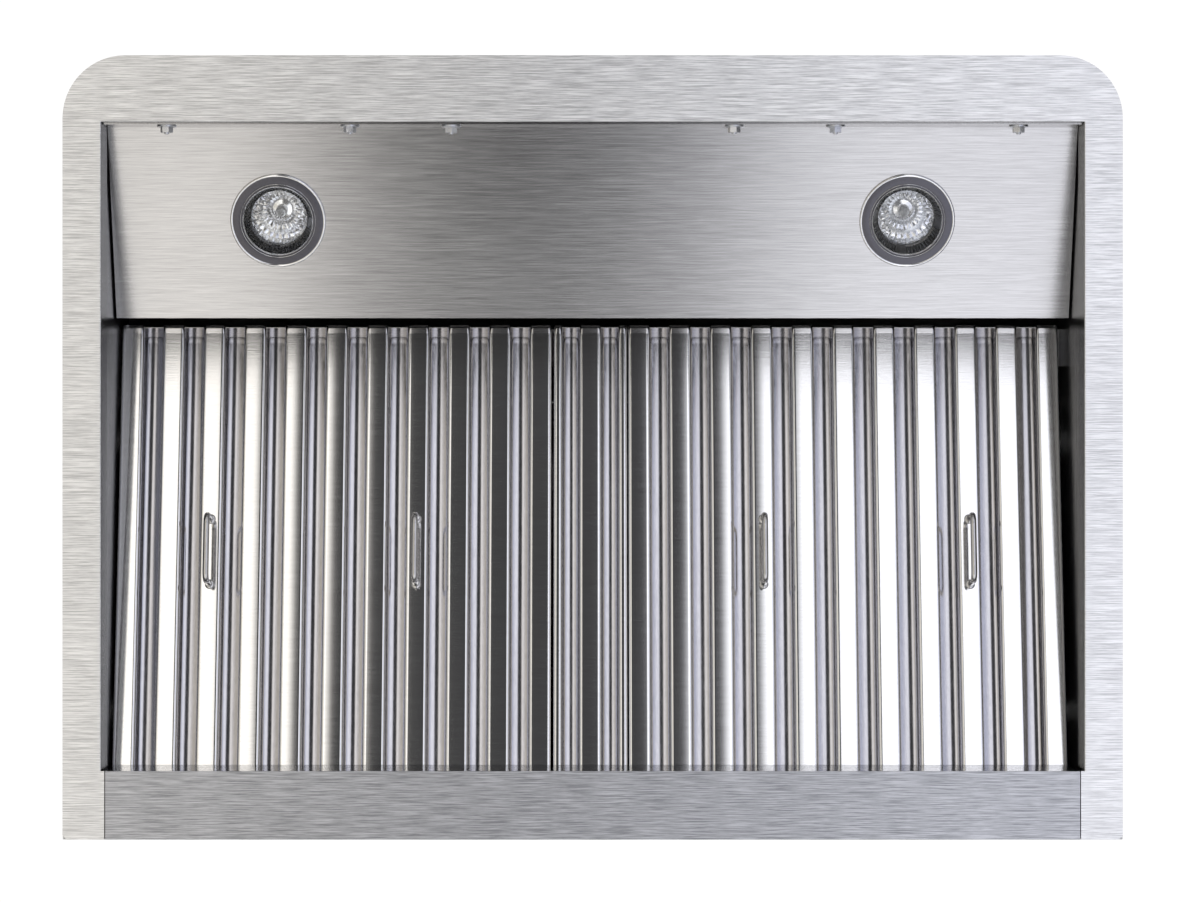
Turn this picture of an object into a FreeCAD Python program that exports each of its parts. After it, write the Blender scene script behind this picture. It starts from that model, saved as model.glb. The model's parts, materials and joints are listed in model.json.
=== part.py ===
"""Ducted range hood with baffle filters, seen in its own frame.

+X is the hood's right, -Y its front, +Y the wall, +Z up.  The origin is the centre of the rim's
underside.  All sizes are millimetres.
"""
import FreeCAD, Part
import math
import os
import Sketcher
from FreeCAD import Placement, Rotation, Vector

SIZES = [
    ("hood_width", 758.8, "rim, side to side"),
    ("hood_depth", 561.4, "rim, front to wall"),
    ("corner_round", 45.0, "plan radius of the two front corners"),
    ("rear_clip", 3.0, "small chamfer on the two rear corners"),
    ("steel", 1.2, "canopy sheet thickness"),
    ("front_rim", 47.7, "width of the rim's front band"),
    ("side_rim", 27.5, "width of the rim's side bands"),
    ("rear_rim", 49.1, "width of the rear strip"),
    ("lip_height", 29.0, "upturned lip round the opening"),
    ("lip_bend", 1.0, "outside bend radius under the lip"),
    ("rail_cut", 2.4, "side bands step in this far beside the rear strip"),
    ("rail_seam", 0.5, "seam between rear strip and side bands"),
    ("rail_wall", 47.0, "height of the rear strip's inner wall"),
    ("band_height", 76.0, "upright outer band"),
    ("ledge", 15.0, "flat ledge on top of the band"),
    ("canopy_inset", 13.4, "canopy panels stand in from the band"),
    ("canopy_height", 457.0, "rim to top panel"),
    ("top_depth", 320.7, "top panel, front to wall"),
    ("slope_thick", 1.4, "front panel's thickness measured level"),
    ("liner_height", 150.0, "top of the inner side liners"),
    ("panel_sheet", 1.0, "light panel thickness"),
    ("panel_rise", 45.0, "light panel's rise from lip to hem"),
    ("panel_run", 136.4, "light panel's run from lip to hem"),
    ("panel_hem", 10.0, "turned-up hem behind the light panel"),
    ("panel_flange", 21.0, "turned-down flange in front of the light panel"),
    ("lamp_spread", 230.0, "lamp centre from the hood's centre line"),
    ("lamp_back", 66.0, "lamp centre behind the lip, level"),
    ("lamp_hole", 30.0, "radius of the lamp holes"),
    ("lamp_flange", 35.0, "radius of a lamp's trim ring"),
    ("lamp_face", 20.6, "radius of the opening in a lamp's trim ring"),
    ("stud_radius", 2.0, "weld studs in the lip"),
    ("nut_flats", 8.0, "flange nut across flats"),
    ("nut_flange", 7.0, "radius of a nut's flange"),
    ("filter_rise", 53.8, "filter's rise from wall to front"),
    ("filter_run", 323.0, "filter's run from pivot to front end"),
    ("filter_tail", 12.0, "filter beyond its pivot, over the grease trough"),
    ("filter_height", 20.0, "filter thickness"),
    ("filter_lift", 0.72, "filter's underside above its pivot"),
    ("baffle_pitch", 30.45, "lower baffle to lower baffle"),
    ("baffle_count", 11, "lower baffles in one filter"),
    ("baffle_width", 16.4, "lower baffle"),
    ("baffle_round", 2.2, "rolled edge of a lower baffle"),
    ("baffle_side", 9.0, "height of a lower baffle"),
    ("baffle_sheet", 0.8, "baffle sheet thickness"),
    ("hat_width", 20.0, "upper baffle"),
    ("hat_round", 6.0, "rolled top of an upper baffle"),
    ("hat_height", 14.0, "height of an upper baffle"),
    ("spacer_width", 54.6, "narrow filter between the two wide ones"),
    ("spacer_edge", 6.5, "edge baffle of the narrow filter"),
    ("spacer_hat", 17.6, "upper baffle of the narrow filter"),
    ("left_filter_x", -191.0, "centre line of the left filter"),
    ("right_filter_x", 186.95, "centre line of the right filter"),
    ("spacer_x", -1.7, "centre line of the narrow filter"),
    ("handle_wire", 2.25, "radius of a handle's wire"),
    ("handle_length", 53.0, "handle, over the wire"),
    ("handle_reach", 27.0, "handle's bar from the filter's face"),
    ("handle_bend", 7.0, "bend radius on the wire's centre line"),
    ("handle_back", 157.0, "handle's middle from the pivot, along the filter"),
    ("blower_y", 110.0, "wheel axis, towards the wall"),
    ("blower_z", 285.0, "wheel axis, above the rim"),
    ("scroll_half", 75.0, "half the width inside the scroll"),
    ("scroll_sheet", 1.0, "scroll sheet thickness"),
    ("inlet_radius", 70.0, "inlet hole in each side of the scroll"),
    ("wheel_radius", 88.0, "outside of the wheel's blades"),
    ("wheel_inner", 73.0, "inside of the wheel's blades"),
    ("wheel_half", 62.0, "half the wheel's width"),
    ("blade_count", 40, "blades on one side of the wheel"),
    ("motor_radius", 38.0, "motor can"),
    ("shaft_radius", 4.0, "wheel shaft"),
    ("shaft_play", 0.05, "running clearance of the shaft"),
    ("collar_y", 98.0, "duct collar, towards the wall"),
    ("collar_radius", 100.0, "outside of the duct collar"),
    ("collar_sheet", 0.8, "duct collar sheet"),
    ("collar_height", 40.0, "duct collar above its flange"),
    ("collar_flange", 16.0, "width of the collar's flange"),
    ("flap_height", 14.0, "damper pin above the top panel"),
    ("flap_sheet", 0.8, "damper flap sheet"),
    ("pin_radius", 2.0, "damper pin"),
    ("button_radius", 7.5, "push button"),
    ("button_gap", 0.3, "clearance round a push button"),
    ("button_pitch", 26.0, "button to button"),
    ("button_height", 40.0, "buttons above the rim"),
    ("wall_hole", 4.0, "radius of the wall and cabinet bolt holes"),
    ("wall_spread", 406.4, "wall holes, side to side"),
    ("wall_rise", 200.0, "wall holes, lower to upper"),
    ("wall_low", 230.0, "lower wall holes above the rim"),
    ("cabinet_spread", 610.0, "cabinet holes, side to side"),
    ("cabinet_depth", 230.0, "cabinet holes, front to back"),
    ("cabinet_y", 110.0, "middle of the cabinet holes"),
]

doc = FreeCAD.newDocument("RangeHood")
sheet = doc.addObject("Spreadsheet::Sheet", "Sizes")


class Size:
    """A length that knows its number and the spreadsheet expression it comes from."""

    def __init__(self, number, text):
        self.number = number
        self.text = text

    def __float__(self):
        return float(self.number)

    def __add__(self, other):
        other = as_size(other)
        return Size(self.number + other.number, f"({self.text} + {other.text})")

    def __sub__(self, other):
        other = as_size(other)
        return Size(self.number - other.number, f"({self.text} - {other.text})")

    def __mul__(self, other):
        other = as_size(other)
        return Size(self.number * other.number, f"({self.text} * {other.text})")

    def __truediv__(self, other):
        other = as_size(other)
        return Size(self.number / other.number, f"({self.text} / {other.text})")

    def __neg__(self):
        return Size(-self.number, f"(0 - {self.text})")

    __radd__ = __add__


def as_size(value):
    return value if isinstance(value, Size) else Size(float(value), f"{float(value):.6f}")


for row, (alias, number, note) in enumerate(SIZES, 1):
    sheet.set(f"A{row}", note)
    sheet.set(f"B{row}", str(number))
    sheet.setAlias(f"B{row}", alias)
doc.recompute()
cell = {alias: Size(float(sheet.get(alias)), f"Sizes.{alias}") for alias, number, note in SIZES}

# ---- places worked out from the sheet ----
steel = cell["steel"]
half_width = cell["hood_width"] / 2
wall_y = cell["hood_depth"] / 2
front_y = -wall_y
opening_x = half_width - cell["side_rim"]
lip_y = front_y + cell["front_rim"]
rail_y = wall_y - cell["rear_rim"]
canopy_x = half_width - cell["canopy_inset"]
canopy_front = front_y + cell["canopy_inset"]
top_z = cell["canopy_height"]
top_front = wall_y - cell["top_depth"]
hem_y = lip_y + cell["panel_sheet"] + cell["panel_run"]
hem_z = cell["lip_height"] + cell["panel_rise"]
liner_x = opening_x + steel
panel_angle = math.degrees(math.atan2(float(cell["panel_rise"]), float(cell["panel_run"])))
filter_angle = math.degrees(math.atan2(float(cell["filter_rise"]), float(cell["filter_run"])))
filter_reach = math.hypot(float(cell["filter_rise"]), float(cell["filter_run"]))
blower_y = float(cell["blower_y"])
blower_z = float(cell["blower_z"])
collar_y = float(cell["collar_y"])

nodes = []


def mm(alias):
    return float(cell[alias])


def keep(made, label):
    """Names a finished sub-part, so that it is written as parts/label.step."""
    made.Label = label
    nodes.append(made)
    return made


def bind(made, **sizes):
    for name, length in sizes.items():
        made.setExpression(name, as_size(length).text)


def place(made, x, y, z):
    made.setExpression(".Placement.Base.x", as_size(x).text)
    made.setExpression(".Placement.Base.y", as_size(y).text)
    made.setExpression(".Placement.Base.z", as_size(z).text)


def block(name, x, y, z):
    """A box between pairs of planes."""
    made = doc.addObject("Part::Box", name)
    bind(made, Length=as_size(x[1]) - x[0], Width=as_size(y[1]) - y[0], Height=as_size(z[1]) - z[0])
    place(made, x[0], y[0], z[0])
    return made


def rod(name, radius, length, base, axis=(0, 0, 1)):
    """A cylinder from a base point along an axis."""
    made = doc.addObject("Part::Cylinder", name)
    bind(made, Radius=radius, Height=length)
    made.Placement = Placement(Vector(), Rotation(Vector(0, 0, 1), Vector(*axis)))
    place(made, *base)
    return made


def cut(name, base, *tools):
    """The base less every tool."""
    tool = tools[0]
    if len(tools) > 1:
        tool = doc.addObject("Part::MultiFuse", name + "_tools")
        tool.Shapes = list(tools)
    made = doc.addObject("Part::Cut", name)
    made.Base = base
    made.Tool = tool
    return made


def solid(label, shape, placement=None):
    """A sub-part whose shape is worked out in code from the sheet's sizes."""
    made = doc.addObject("Part::Feature", label)
    made.Shape = shape
    if placement is not None:
        made.Placement = placement
    return keep(made, label)


# ---- sheet-metal bodies ----
def plane_of(body, role):
    return next(feature for feature in body.Origin.OriginFeatures if feature.Role == role)


def outline(body, role, corners, offset=0):
    """A closed sketch on an origin plane; each corner is held by two bound dimensions."""
    sketch = body.newObject("Sketcher::SketchObject", body.Name + "_sketch")
    sketch.AttachmentSupport = [(plane_of(body, role), "")]
    sketch.MapMode = "FlatFace"
    sketch.setExpression(".AttachmentOffset.Base.z", as_size(offset).text)
    points = [Vector(float(u), float(v), 0) for u, v in corners]
    for index, point in enumerate(points):
        sketch.addGeometry(Part.LineSegment(point, points[(index + 1) % len(points)]))
    for index in range(len(points)):
        sketch.addConstraint(Sketcher.Constraint("Coincident", index, 2, (index + 1) % len(points), 1))
    for index, corner in enumerate(corners):
        for kind, length in zip(("DistanceX", "DistanceY"), corner):
            length = as_size(length)
            held = sketch.addConstraint(Sketcher.Constraint(kind, -1, 1, index, 1, length.number))
            sketch.setExpression(f"Constraints[{held}]", length.text)
    return sketch


def circles(body, role, centres, radius, offset=0):
    """A sketch of equal circles on an origin plane."""
    sketch = body.newObject("Sketcher::SketchObject", body.Name + "_holes")
    sketch.AttachmentSupport = [(plane_of(body, role), "")]
    sketch.MapMode = "FlatFace"
    sketch.setExpression(".AttachmentOffset.Base.z", as_size(offset).text)
    for index, centre in enumerate(centres):
        point = Vector(float(centre[0]), float(centre[1]), 0)
        sketch.addGeometry(Part.Circle(point, Vector(0, 0, 1), float(radius)))
        held = sketch.addConstraint(Sketcher.Constraint("Radius", index, float(radius)))
        sketch.setExpression(f"Constraints[{held}]", as_size(radius).text)
        for kind, length in zip(("DistanceX", "DistanceY"), centre):
            length = as_size(length)
            held = sketch.addConstraint(Sketcher.Constraint(kind, -1, 1, index, 3, length.number))
            sketch.setExpression(f"Constraints[{held}]", length.text)
    return sketch


def pad(body, sketch, length, both_ways=False):
    made = body.newObject("PartDesign::Pad", body.Name + "_pad")
    made.Profile = sketch
    bind(made, Length=length)
    if both_ways:
        made.SideType = "Symmetric"
    doc.recompute()
    return made


def pocket(body, sketch, length, reverse=False):
    """Cuts a sketch into the body and makes sure that it took something away."""
    before = body.Tip.Shape.Volume
    made = body.newObject("PartDesign::Pocket", body.Name + "_pocket")
    made.Profile = sketch
    made.Reversed = reverse
    bind(made, Length=length)
    doc.recompute()
    if made.Shape.Volume > before - 1:
        raise RuntimeError(body.Name + ": a pocket cut nothing")
    return made


def edges_at(shape, test):
    return [f"Edge{index}" for index, edge in enumerate(shape.Edges, 1) if test(edge)]


def upright_at(x, y):
    """True for vertical edges at a plan position, either side of the centre line."""
    def test(edge):
        ends = [vertex.Point for vertex in edge.Vertexes]
        if len(ends) != 2 or abs(ends[0].z - ends[1].z) < 0.5:
            return False
        near = all(abs(abs(p.x) - float(x)) < 0.05 and abs(p.y - float(y)) < 0.05 for p in ends)
        return near
    return test


def round_edges(body, test, radius, kind="Fillet"):
    tip = body.Tip
    made = body.newObject("PartDesign::" + kind, body.Name + "_" + kind.lower())
    made.Base = (tip, edges_at(tip.Shape, test))
    bind(made, **{"Radius" if kind == "Fillet" else "Size": radius})
    doc.recompute()
    return made


def sheet_body(label):
    return doc.addObject("PartDesign::Body", label)


def long_section(label, corners, length):
    """A bent sheet of constant section, running side to side; corners are (y, z)."""
    body = sheet_body(label)
    pad(body, outline(body, "YZ_Plane", corners), length, both_ways=True)
    return body


# ---- canopy ----
def make_rim_frame():
    """Flat rim on three sides with the lip turned up round its opening."""
    body = sheet_body("rim_frame")
    step_x = opening_x - cell["rail_cut"]
    flat = [
        (-half_width, front_y), (half_width, front_y), (half_width, wall_y), (step_x, wall_y),
        (step_x, rail_y), (opening_x, rail_y), (opening_x, lip_y), (-opening_x, lip_y),
        (-opening_x, rail_y), (-step_x, rail_y), (-step_x, wall_y), (-half_width, wall_y),
    ]
    pad(body, outline(body, "XY_Plane", flat), steel)
    round_edges(body, upright_at(half_width, front_y), cell["corner_round"])
    round_edges(body, upright_at(half_width, wall_y), cell["rear_clip"], "Chamfer")
    lip = [
        (-liner_x, lip_y - steel), (liner_x, lip_y - steel), (liner_x, rail_y), (opening_x, rail_y),
        (opening_x, lip_y), (-opening_x, lip_y), (-opening_x, rail_y), (-liner_x, rail_y),
    ]
    pad(body, outline(body, "XY_Plane", lip), cell["lip_height"])

    def bend(edge):
        ends = [vertex.Point for vertex in edge.Vertexes]
        if len(ends) != 2 or max(abs(p.z) for p in ends) > 0.01:
            return False
        side = all(abs(abs(p.x) - float(opening_x)) < 0.05 and p.y < float(rail_y) + 0.05 for p in ends)
        front = all(abs(p.y - float(lip_y)) < 0.05 for p in ends)
        return (side or front) and edge.Length > 50

    round_edges(body, bend, cell["lip_bend"])
    return keep(body, "rim_frame")


def rounded_slab(name, half, y, z, radius):
    """A block whose two front corners are rounded."""
    body = sheet_body(name)
    shape = [(-half, y[0]), (half, y[0]), (half, y[1]), (-half, y[1])]
    pad(body, outline(body, "XY_Plane", shape, offset=z[0]), z[1] - z[0])
    round_edges(body, upright_at(half, y[0]), radius)
    return body


def make_front_band():
    """Upright band round the front and sides, with the ledge that carries the canopy."""
    top = cell["band_height"]
    past = wall_y + 10
    outside = rounded_slab("band_outside", half_width, (front_y, wall_y), (steel, top), cell["corner_round"])
    inside_y = (front_y + steel, past)
    inside_z = (steel / 2, top - steel)
    inside = rounded_slab("band_inside", half_width - steel, inside_y, inside_z, cell["corner_round"] - steel)
    ledge_x = half_width - cell["ledge"]
    tools = [inside, block("band_well", (-ledge_x, ledge_x), (front_y + cell["ledge"], past), (steel, top * 2))]
    for index in range(5):
        spot = (button_x(index), front_y - steel, cell["button_height"])
        tools.append(rod("button_hole", cell["button_radius"] + cell["button_gap"], steel * 3, spot, (0, 1, 0)))
    return keep(cut("front_band", outside, *tools), "front_band")


def make_rear_rail():
    """Rear strip and the wall that the filters lean on; the grease trough lies behind it."""
    wall_top = cell["rail_wall"]
    section = [
        (rail_y, 0), (wall_y, 0), (wall_y, steel), (rail_y + steel, steel),
        (rail_y + steel, wall_top), (rail_y, wall_top),
    ]
    half = opening_x - cell["rail_cut"] - cell["rail_seam"]
    return keep(long_section("rear_rail", section, half * 2), "rear_rail")


def make_front_panel():
    thick = cell["slope_thick"]
    section = [
        (canopy_front, cell["band_height"]), (canopy_front + thick, cell["band_height"]),
        (top_front + thick, top_z), (top_front, top_z),
    ]
    return keep(long_section("front_panel", section, (canopy_x - steel) * 2), "front_panel")


def make_side_panel(label, side):
    body = sheet_body(label)
    corners = [
        (canopy_front, cell["band_height"]), (wall_y - steel, cell["band_height"]),
        (wall_y - steel, top_z), (top_front, top_z),
    ]
    near = canopy_x - steel if side > 0 else -canopy_x
    pad(body, outline(body, "YZ_Plane", corners, offset=near), steel)
    return keep(body, label)


def make_top_panel():
    """Top of the canopy with the duct hole, four cabinet holes and the cable hole."""
    x = canopy_x - steel
    plate = block("top_plate", (-x, x), (top_front + cell["slope_thick"], wall_y - steel), (top_z - steel, top_z))
    low = top_z - steel * 2
    duct = rod("duct_hole", cell["collar_radius"] - 4, steel * 4, (0, cell["collar_y"], low))
    holes = [duct, rod("cable_hole", GLAND_NECK, steel * 4, (GLAND_X, GLAND_Y, low))]
    for sx in (-1, 1):
        for sy in (-1, 1):
            spot = (cell["cabinet_spread"] / 2 * sx, cell["cabinet_y"] + cell["cabinet_depth"] / 2 * sy, low)
            holes.append(rod("cabinet_hole", cell["wall_hole"], steel * 4, spot))
    return keep(cut("top_panel", plate, *holes), "top_panel")


def make_back_panel():
    """Back of the hood, wider below the ledge, with four wall holes."""
    body = sheet_body("back_panel")
    wide = half_width - steel
    ledge_x = half_width - cell["ledge"]
    band_top = cell["band_height"]
    shelf = band_top - steel
    shape = [
        (-wide, steel), (wide, steel), (wide, shelf), (ledge_x, shelf), (ledge_x, band_top),
        (canopy_x, band_top), (canopy_x, top_z), (-canopy_x, top_z), (-canopy_x, band_top),
        (-ledge_x, band_top), (-ledge_x, shelf), (-wide, shelf),
    ]
    pad(body, outline(body, "XZ_Plane", shape, offset=-wall_y), steel)
    centres = [
        (cell["wall_spread"] / 2 * sx, cell["wall_low"] + cell["wall_rise"] * up)
        for sx in (-1, 1) for up in (0, 1)
    ]
    holes = circles(body, "XZ_Plane", centres, cell["wall_hole"], offset=-wall_y)
    pocket(body, holes, steel * 2, reverse=True)
    return keep(body, "back_panel")


def make_side_liner(label, side):
    """Inner side wall of the cavity, standing on the lip's outer face."""
    body = sheet_body(label)
    low = cell["lip_height"] - LINER_LAP
    corners = [
        (lip_y - steel, low), (wall_y - steel, low), (wall_y - steel, cell["liner_height"]),
        (lip_y + LINER_CORNER, cell["liner_height"]), (lip_y - steel, cell["liner_height"] - LINER_CORNER * 1.5),
    ]
    near = liner_x if side > 0 else -(liner_x + steel)
    pad(body, outline(body, "YZ_Plane", corners, offset=near), steel)
    return keep(body, label)


# ---- light panel and lamps ----
def lamp_frame(side):
    """Placement on the light panel's underside, local Z along the panel's upward normal."""
    slope = float(cell["panel_rise"] / cell["panel_run"])
    back = mm("lamp_back")
    spot = Vector(mm("lamp_spread") * side, float(lip_y) + mm("panel_sheet") + back, mm("lip_height") + back * slope)
    return Placement(spot, Rotation(Vector(1, 0, 0), panel_angle))


def make_light_panel():
    """Sloped sheet from the lip up to its hem, with a flange down the lip and two lamp holes."""
    thick = cell["panel_sheet"]
    slope = cell["panel_rise"] / cell["panel_run"]
    upright = thick * (1 / math.cos(math.radians(panel_angle)))
    start_y = lip_y + thick
    low_z = cell["lip_height"] - cell["panel_flange"]
    section = [
        (start_y, low_z), (start_y, cell["lip_height"]), (hem_y, hem_z), (hem_y, hem_z + cell["panel_hem"]),
        (hem_y - thick, hem_z + cell["panel_hem"]), (hem_y - thick, hem_z - slope * thick + upright),
        (lip_y, cell["lip_height"] - slope * thick + upright), (lip_y, low_z),
    ]
    plate = long_section("light_sheet", section, (opening_x - PANEL_GAP) * 2)
    tools = []
    for side in (-1, 1):
        hole = doc.addObject("Part::Cylinder", "lamp_hole")
        bind(hole, Radius=cell["lamp_hole"])
        hole.Height = 20
        hole.Placement = lamp_frame(side).multiply(Placement(Vector(0, 0, -10), Rotation()))
        tools.append(hole)
    centres = [(x, NUT_Z) for x in nut_places()]
    for x, z in centres:
        tools.append(rod("stud_hole", cell["stud_radius"] + 0.3, 3, (x, lip_y - 0.5, z), (0, 1, 0)))
    return keep(cut("light_panel", plate, *tools), "light_panel")


def spin(profile, turn=360):
    """Revolves (radius, height) corners about the local Z axis."""
    points = [Vector(r, 0, z) for r, z in profile]
    wire = Part.makePolygon(points + points[:1])
    return Part.Face(wire).revolve(Vector(), Vector(0, 0, 1), turn)


def make_lamp(name, side):
    """Trim ring, reflector bulb and cover glass."""
    frame = lamp_frame(side)
    edge = mm("lamp_flange")
    neck = mm("lamp_hole") - 0.4
    face = mm("lamp_face")
    ring = [
        (face, TRIM_DEEP - 3), (face + 5, -1.4), (face + 6.6, -2.2), (edge - 1.4, -2.2), (edge, -1.0), (edge, 0),
        (neck, 0), (neck, TRIM_DEEP), (face, TRIM_DEEP),
    ]
    solid("lamp_trim_" + name, spin(ring), frame)
    bowl = [
        (22.5, 14.2), (24.8, 14.2), (24.8, 17.0), (20.5, 26.0), (14.0, 34.5), (8.0, 39.0), (8.0, 50.0), (0, 50.0),
        (0, 36.0), (7.0, 35.0), (13.0, 31.5), (19.0, 24.5),
    ]
    capsule = [(0, 23.5), (3.0, 24.5), (4.5, 27.0), (4.5, 34.0), (0, 35.6)]
    solid("lamp_bulb_" + name, Part.makeCompound([spin(bowl), spin(capsule)]), frame)
    solid("lamp_glass_" + name, spin([(0, 12.3), (24.8, 12.3), (24.8, 13.9), (0, 13.9)]), frame)


def make_lamp_fittings():
    """Sockets on the bulbs' necks and the spring clips that hold the lamps in the sheet."""
    sockets = []
    clips = []
    for side in (-1, 1):
        frame = lamp_frame(side)
        cap = spin([(8.4, 40.5), (14, 40.5), (14, 66), (0, 66), (0, 50.6), (8.4, 50.6)])
        cap.Placement = frame
        sockets.append(cap)
        for lean in (-1, 1):
            leaf = Part.makeBox(16, 10, 0.6, Vector(mm("lamp_hole") + 0.4, -5, 1.5))
            post = Part.makeBox(0.6, 10, 10, Vector(mm("lamp_hole") + 0.4, -5, 1.5))
            clip = leaf.fuse(post)
            clip.Placement = frame.multiply(Placement(Vector(), Rotation(Vector(0, 0, 1), 90 - 90 * lean)))
            clips.append(clip)
    solid("lamp_sockets", Part.makeCompound(sockets))
    solid("lamp_clips", Part.makeCompound(clips))


# ---- studs and nuts in the lip ----
def nut_places():
    return [side * spot for spot in NUT_SPREAD for side in (-1, 1)]


def make_lip_fasteners():
    """Weld studs through the lip and the flange nuts that hold the light panel's flange."""
    face = float(lip_y) + mm("panel_sheet")
    studs = []
    nuts = []
    for x in nut_places():
        back = Rotation(Vector(0, 0, 1), Vector(0, 1, 0))
        stud = Part.makeCylinder(mm("stud_radius"), STUD_LENGTH)
        stud.Placement = Placement(Vector(x, float(lip_y), NUT_Z), back)
        studs.append(stud)
        bore = Part.makeCylinder(mm("stud_radius") + 0.02, 8)
        corner = mm("nut_flats") / math.sqrt(3)
        hexagon = Part.makePolygon(
            [Vector(corner * math.cos(k * math.pi / 3), corner * math.sin(k * math.pi / 3), 0) for k in range(7)]
        )
        hexagon = Part.Face(hexagon).extrude(Vector(0, 0, 5.2))
        cone = Part.makeCone(mm("nut_flange"), corner, 1.8)
        nut = hexagon.fuse(cone).cut(bore)
        nut.Placement = Placement(Vector(x, face, NUT_Z), back)
        nuts.append(nut)
    solid("lip_studs", Part.makeCompound(studs))
    solid("flange_nuts", Part.makeCompound(nuts))


# ---- filters ----
def filter_frame(x):
    """Placement of a filter: local origin at its pivot, local -Y up towards the front."""
    spot = Vector(x, float(rail_y), mm("rail_wall"))
    lift = Placement(Vector(0, 0, mm("filter_lift")), Rotation())
    return Placement(spot, Rotation(Vector(1, 0, 0), -filter_angle)).multiply(lift)


def channel(width, height, corner, opens_up=True):
    """Section of a rolled U channel in the XZ plane, centred on X, its web on Z = 0."""
    def wire(inset):
        w = width / 2 - inset
        r = corner - inset
        low = inset
        mid = r * (1 - math.sqrt(0.5))
        return [
            Vector(-w, 0, height), Vector(-w, 0, low + r), Vector(-w + mid, 0, low + mid), Vector(-w + r, 0, low),
            Vector(w - r, 0, low), Vector(w - mid, 0, low + mid), Vector(w, 0, low + r), Vector(w, 0, height),
        ]
    outer = wire(0)
    inner = wire(mm("baffle_sheet"))
    edges = []
    for points in (outer, inner):
        edges += [
            Part.LineSegment(points[0], points[1]).toShape(), Part.Arc(points[1], points[2], points[3]).toShape(),
            Part.LineSegment(points[3], points[4]).toShape(), Part.Arc(points[4], points[5], points[6]).toShape(),
            Part.LineSegment(points[6], points[7]).toShape(),
        ]
    edges += [Part.LineSegment(outer[k], inner[k]).toShape() for k in (0, 7)]
    face = Part.Face(Part.Wire(Part.__sortEdges__(edges)))
    if not opens_up:
        face = face.mirror(Vector(), Vector(0, 0, 1)).translated(Vector(0, 0, height))
    return face


def baffle_run(face, x, z, front=0.0, rear=0.0):
    """A channel section drawn out along the filter, stopping short of its two ends."""
    run = face.extrude(Vector(0, filter_reach + mm("filter_tail") - front - rear, 0))
    return run.translated(Vector(x, front - filter_reach, z))


def hat_run(width, x):
    """An upper baffle between the end plates."""
    face = channel(width, mm("hat_height"), mm("hat_round"), opens_up=False)
    low = mm("filter_height") - mm("hat_height") - HAT_DROP
    return baffle_run(face, x, low, CAP_SETBACK + mm("baffle_sheet"), mm("baffle_sheet"))


def end_caps(width):
    """Plates across both ends, with the two catch pins on the front one."""
    low = 1.5
    tall = mm("filter_height") - low
    plate = mm("baffle_sheet")
    front = Part.makeBox(width, plate, tall, Vector(-width / 2, CAP_SETBACK - filter_reach, low))
    shelf = Part.makeBox(width, 10, plate, Vector(-width / 2, CAP_SETBACK - filter_reach, low + tall - plate))
    rear = Part.makeBox(width, plate, tall, Vector(-width / 2, mm("filter_tail") - plate, low))
    front = front.fuse(shelf)
    for x in catch_offsets(width):
        pin = Part.makeCylinder(CATCH_PIN, 7, Vector(x, -filter_reach + 6, low + tall - plate))
        front = front.fuse(pin)
    return front, rear


def catch_offsets(width):
    return (-width / 4, width / 4) if width > 100 else (0,)


def make_filter(name, x):
    """One wide baffle filter with its two wire handles."""
    frame = filter_frame(x)
    pitch = mm("baffle_pitch")
    count = int(mm("baffle_count"))
    first = -pitch * (count - 1) / 2
    width = pitch * (count - 1) + mm("baffle_width")
    front, rear = end_caps(width)
    trimmed = [front, rear]
    low_face = channel(mm("baffle_width"), mm("baffle_side"), mm("baffle_round"))
    lows = [baffle_run(low_face, first + pitch * k, 0).cut(trimmed) for k in range(count)]
    solid("filter_lower_baffles_" + name, Part.makeCompound(lows), frame)
    hats = [hat_run(mm("hat_width"), first + pitch * (k + 0.5)) for k in range(count - 1)]
    solid("filter_upper_baffles_" + name, Part.makeCompound(hats), frame)
    solid("filter_end_caps_" + name, Part.makeCompound(trimmed), frame)
    steps = (2, 7) if name == "left" else (3, 8)
    handles = [wire_handle(first + pitch * k) for k in steps]
    solid("filter_handles_" + name, Part.makeCompound(handles), frame)


def wire_handle(x):
    """A U of round wire welded to a baffle's face."""
    half = mm("handle_length") / 2 - mm("handle_wire")
    reach = mm("handle_reach")
    bend = mm("handle_bend")
    y = -mm("handle_back")
    turn = bend * (1 - math.sqrt(0.5))
    path = [
        Part.LineSegment(Vector(x, y - half, 0), Vector(x, y - half, -reach + bend)),
        Part.Arc(
            Vector(x, y - half, -reach + bend), Vector(x, y - half + turn, -reach + turn),
            Vector(x, y - half + bend, -reach),
        ),
        Part.LineSegment(Vector(x, y - half + bend, -reach), Vector(x, y + half - bend, -reach)),
        Part.Arc(
            Vector(x, y + half - bend, -reach), Vector(x, y + half - turn, -reach + turn),
            Vector(x, y + half, -reach + bend),
        ),
        Part.LineSegment(Vector(x, y + half, -reach + bend), Vector(x, y + half, 0)),
    ]
    spine = Part.Wire([curve.toShape() for curve in path])
    ring = Part.Wire(Part.Circle(Vector(x, y - half, 0), Vector(0, 0, -1), mm("handle_wire")).toShape())
    return spine.makePipeShell([ring], True, True)


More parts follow.
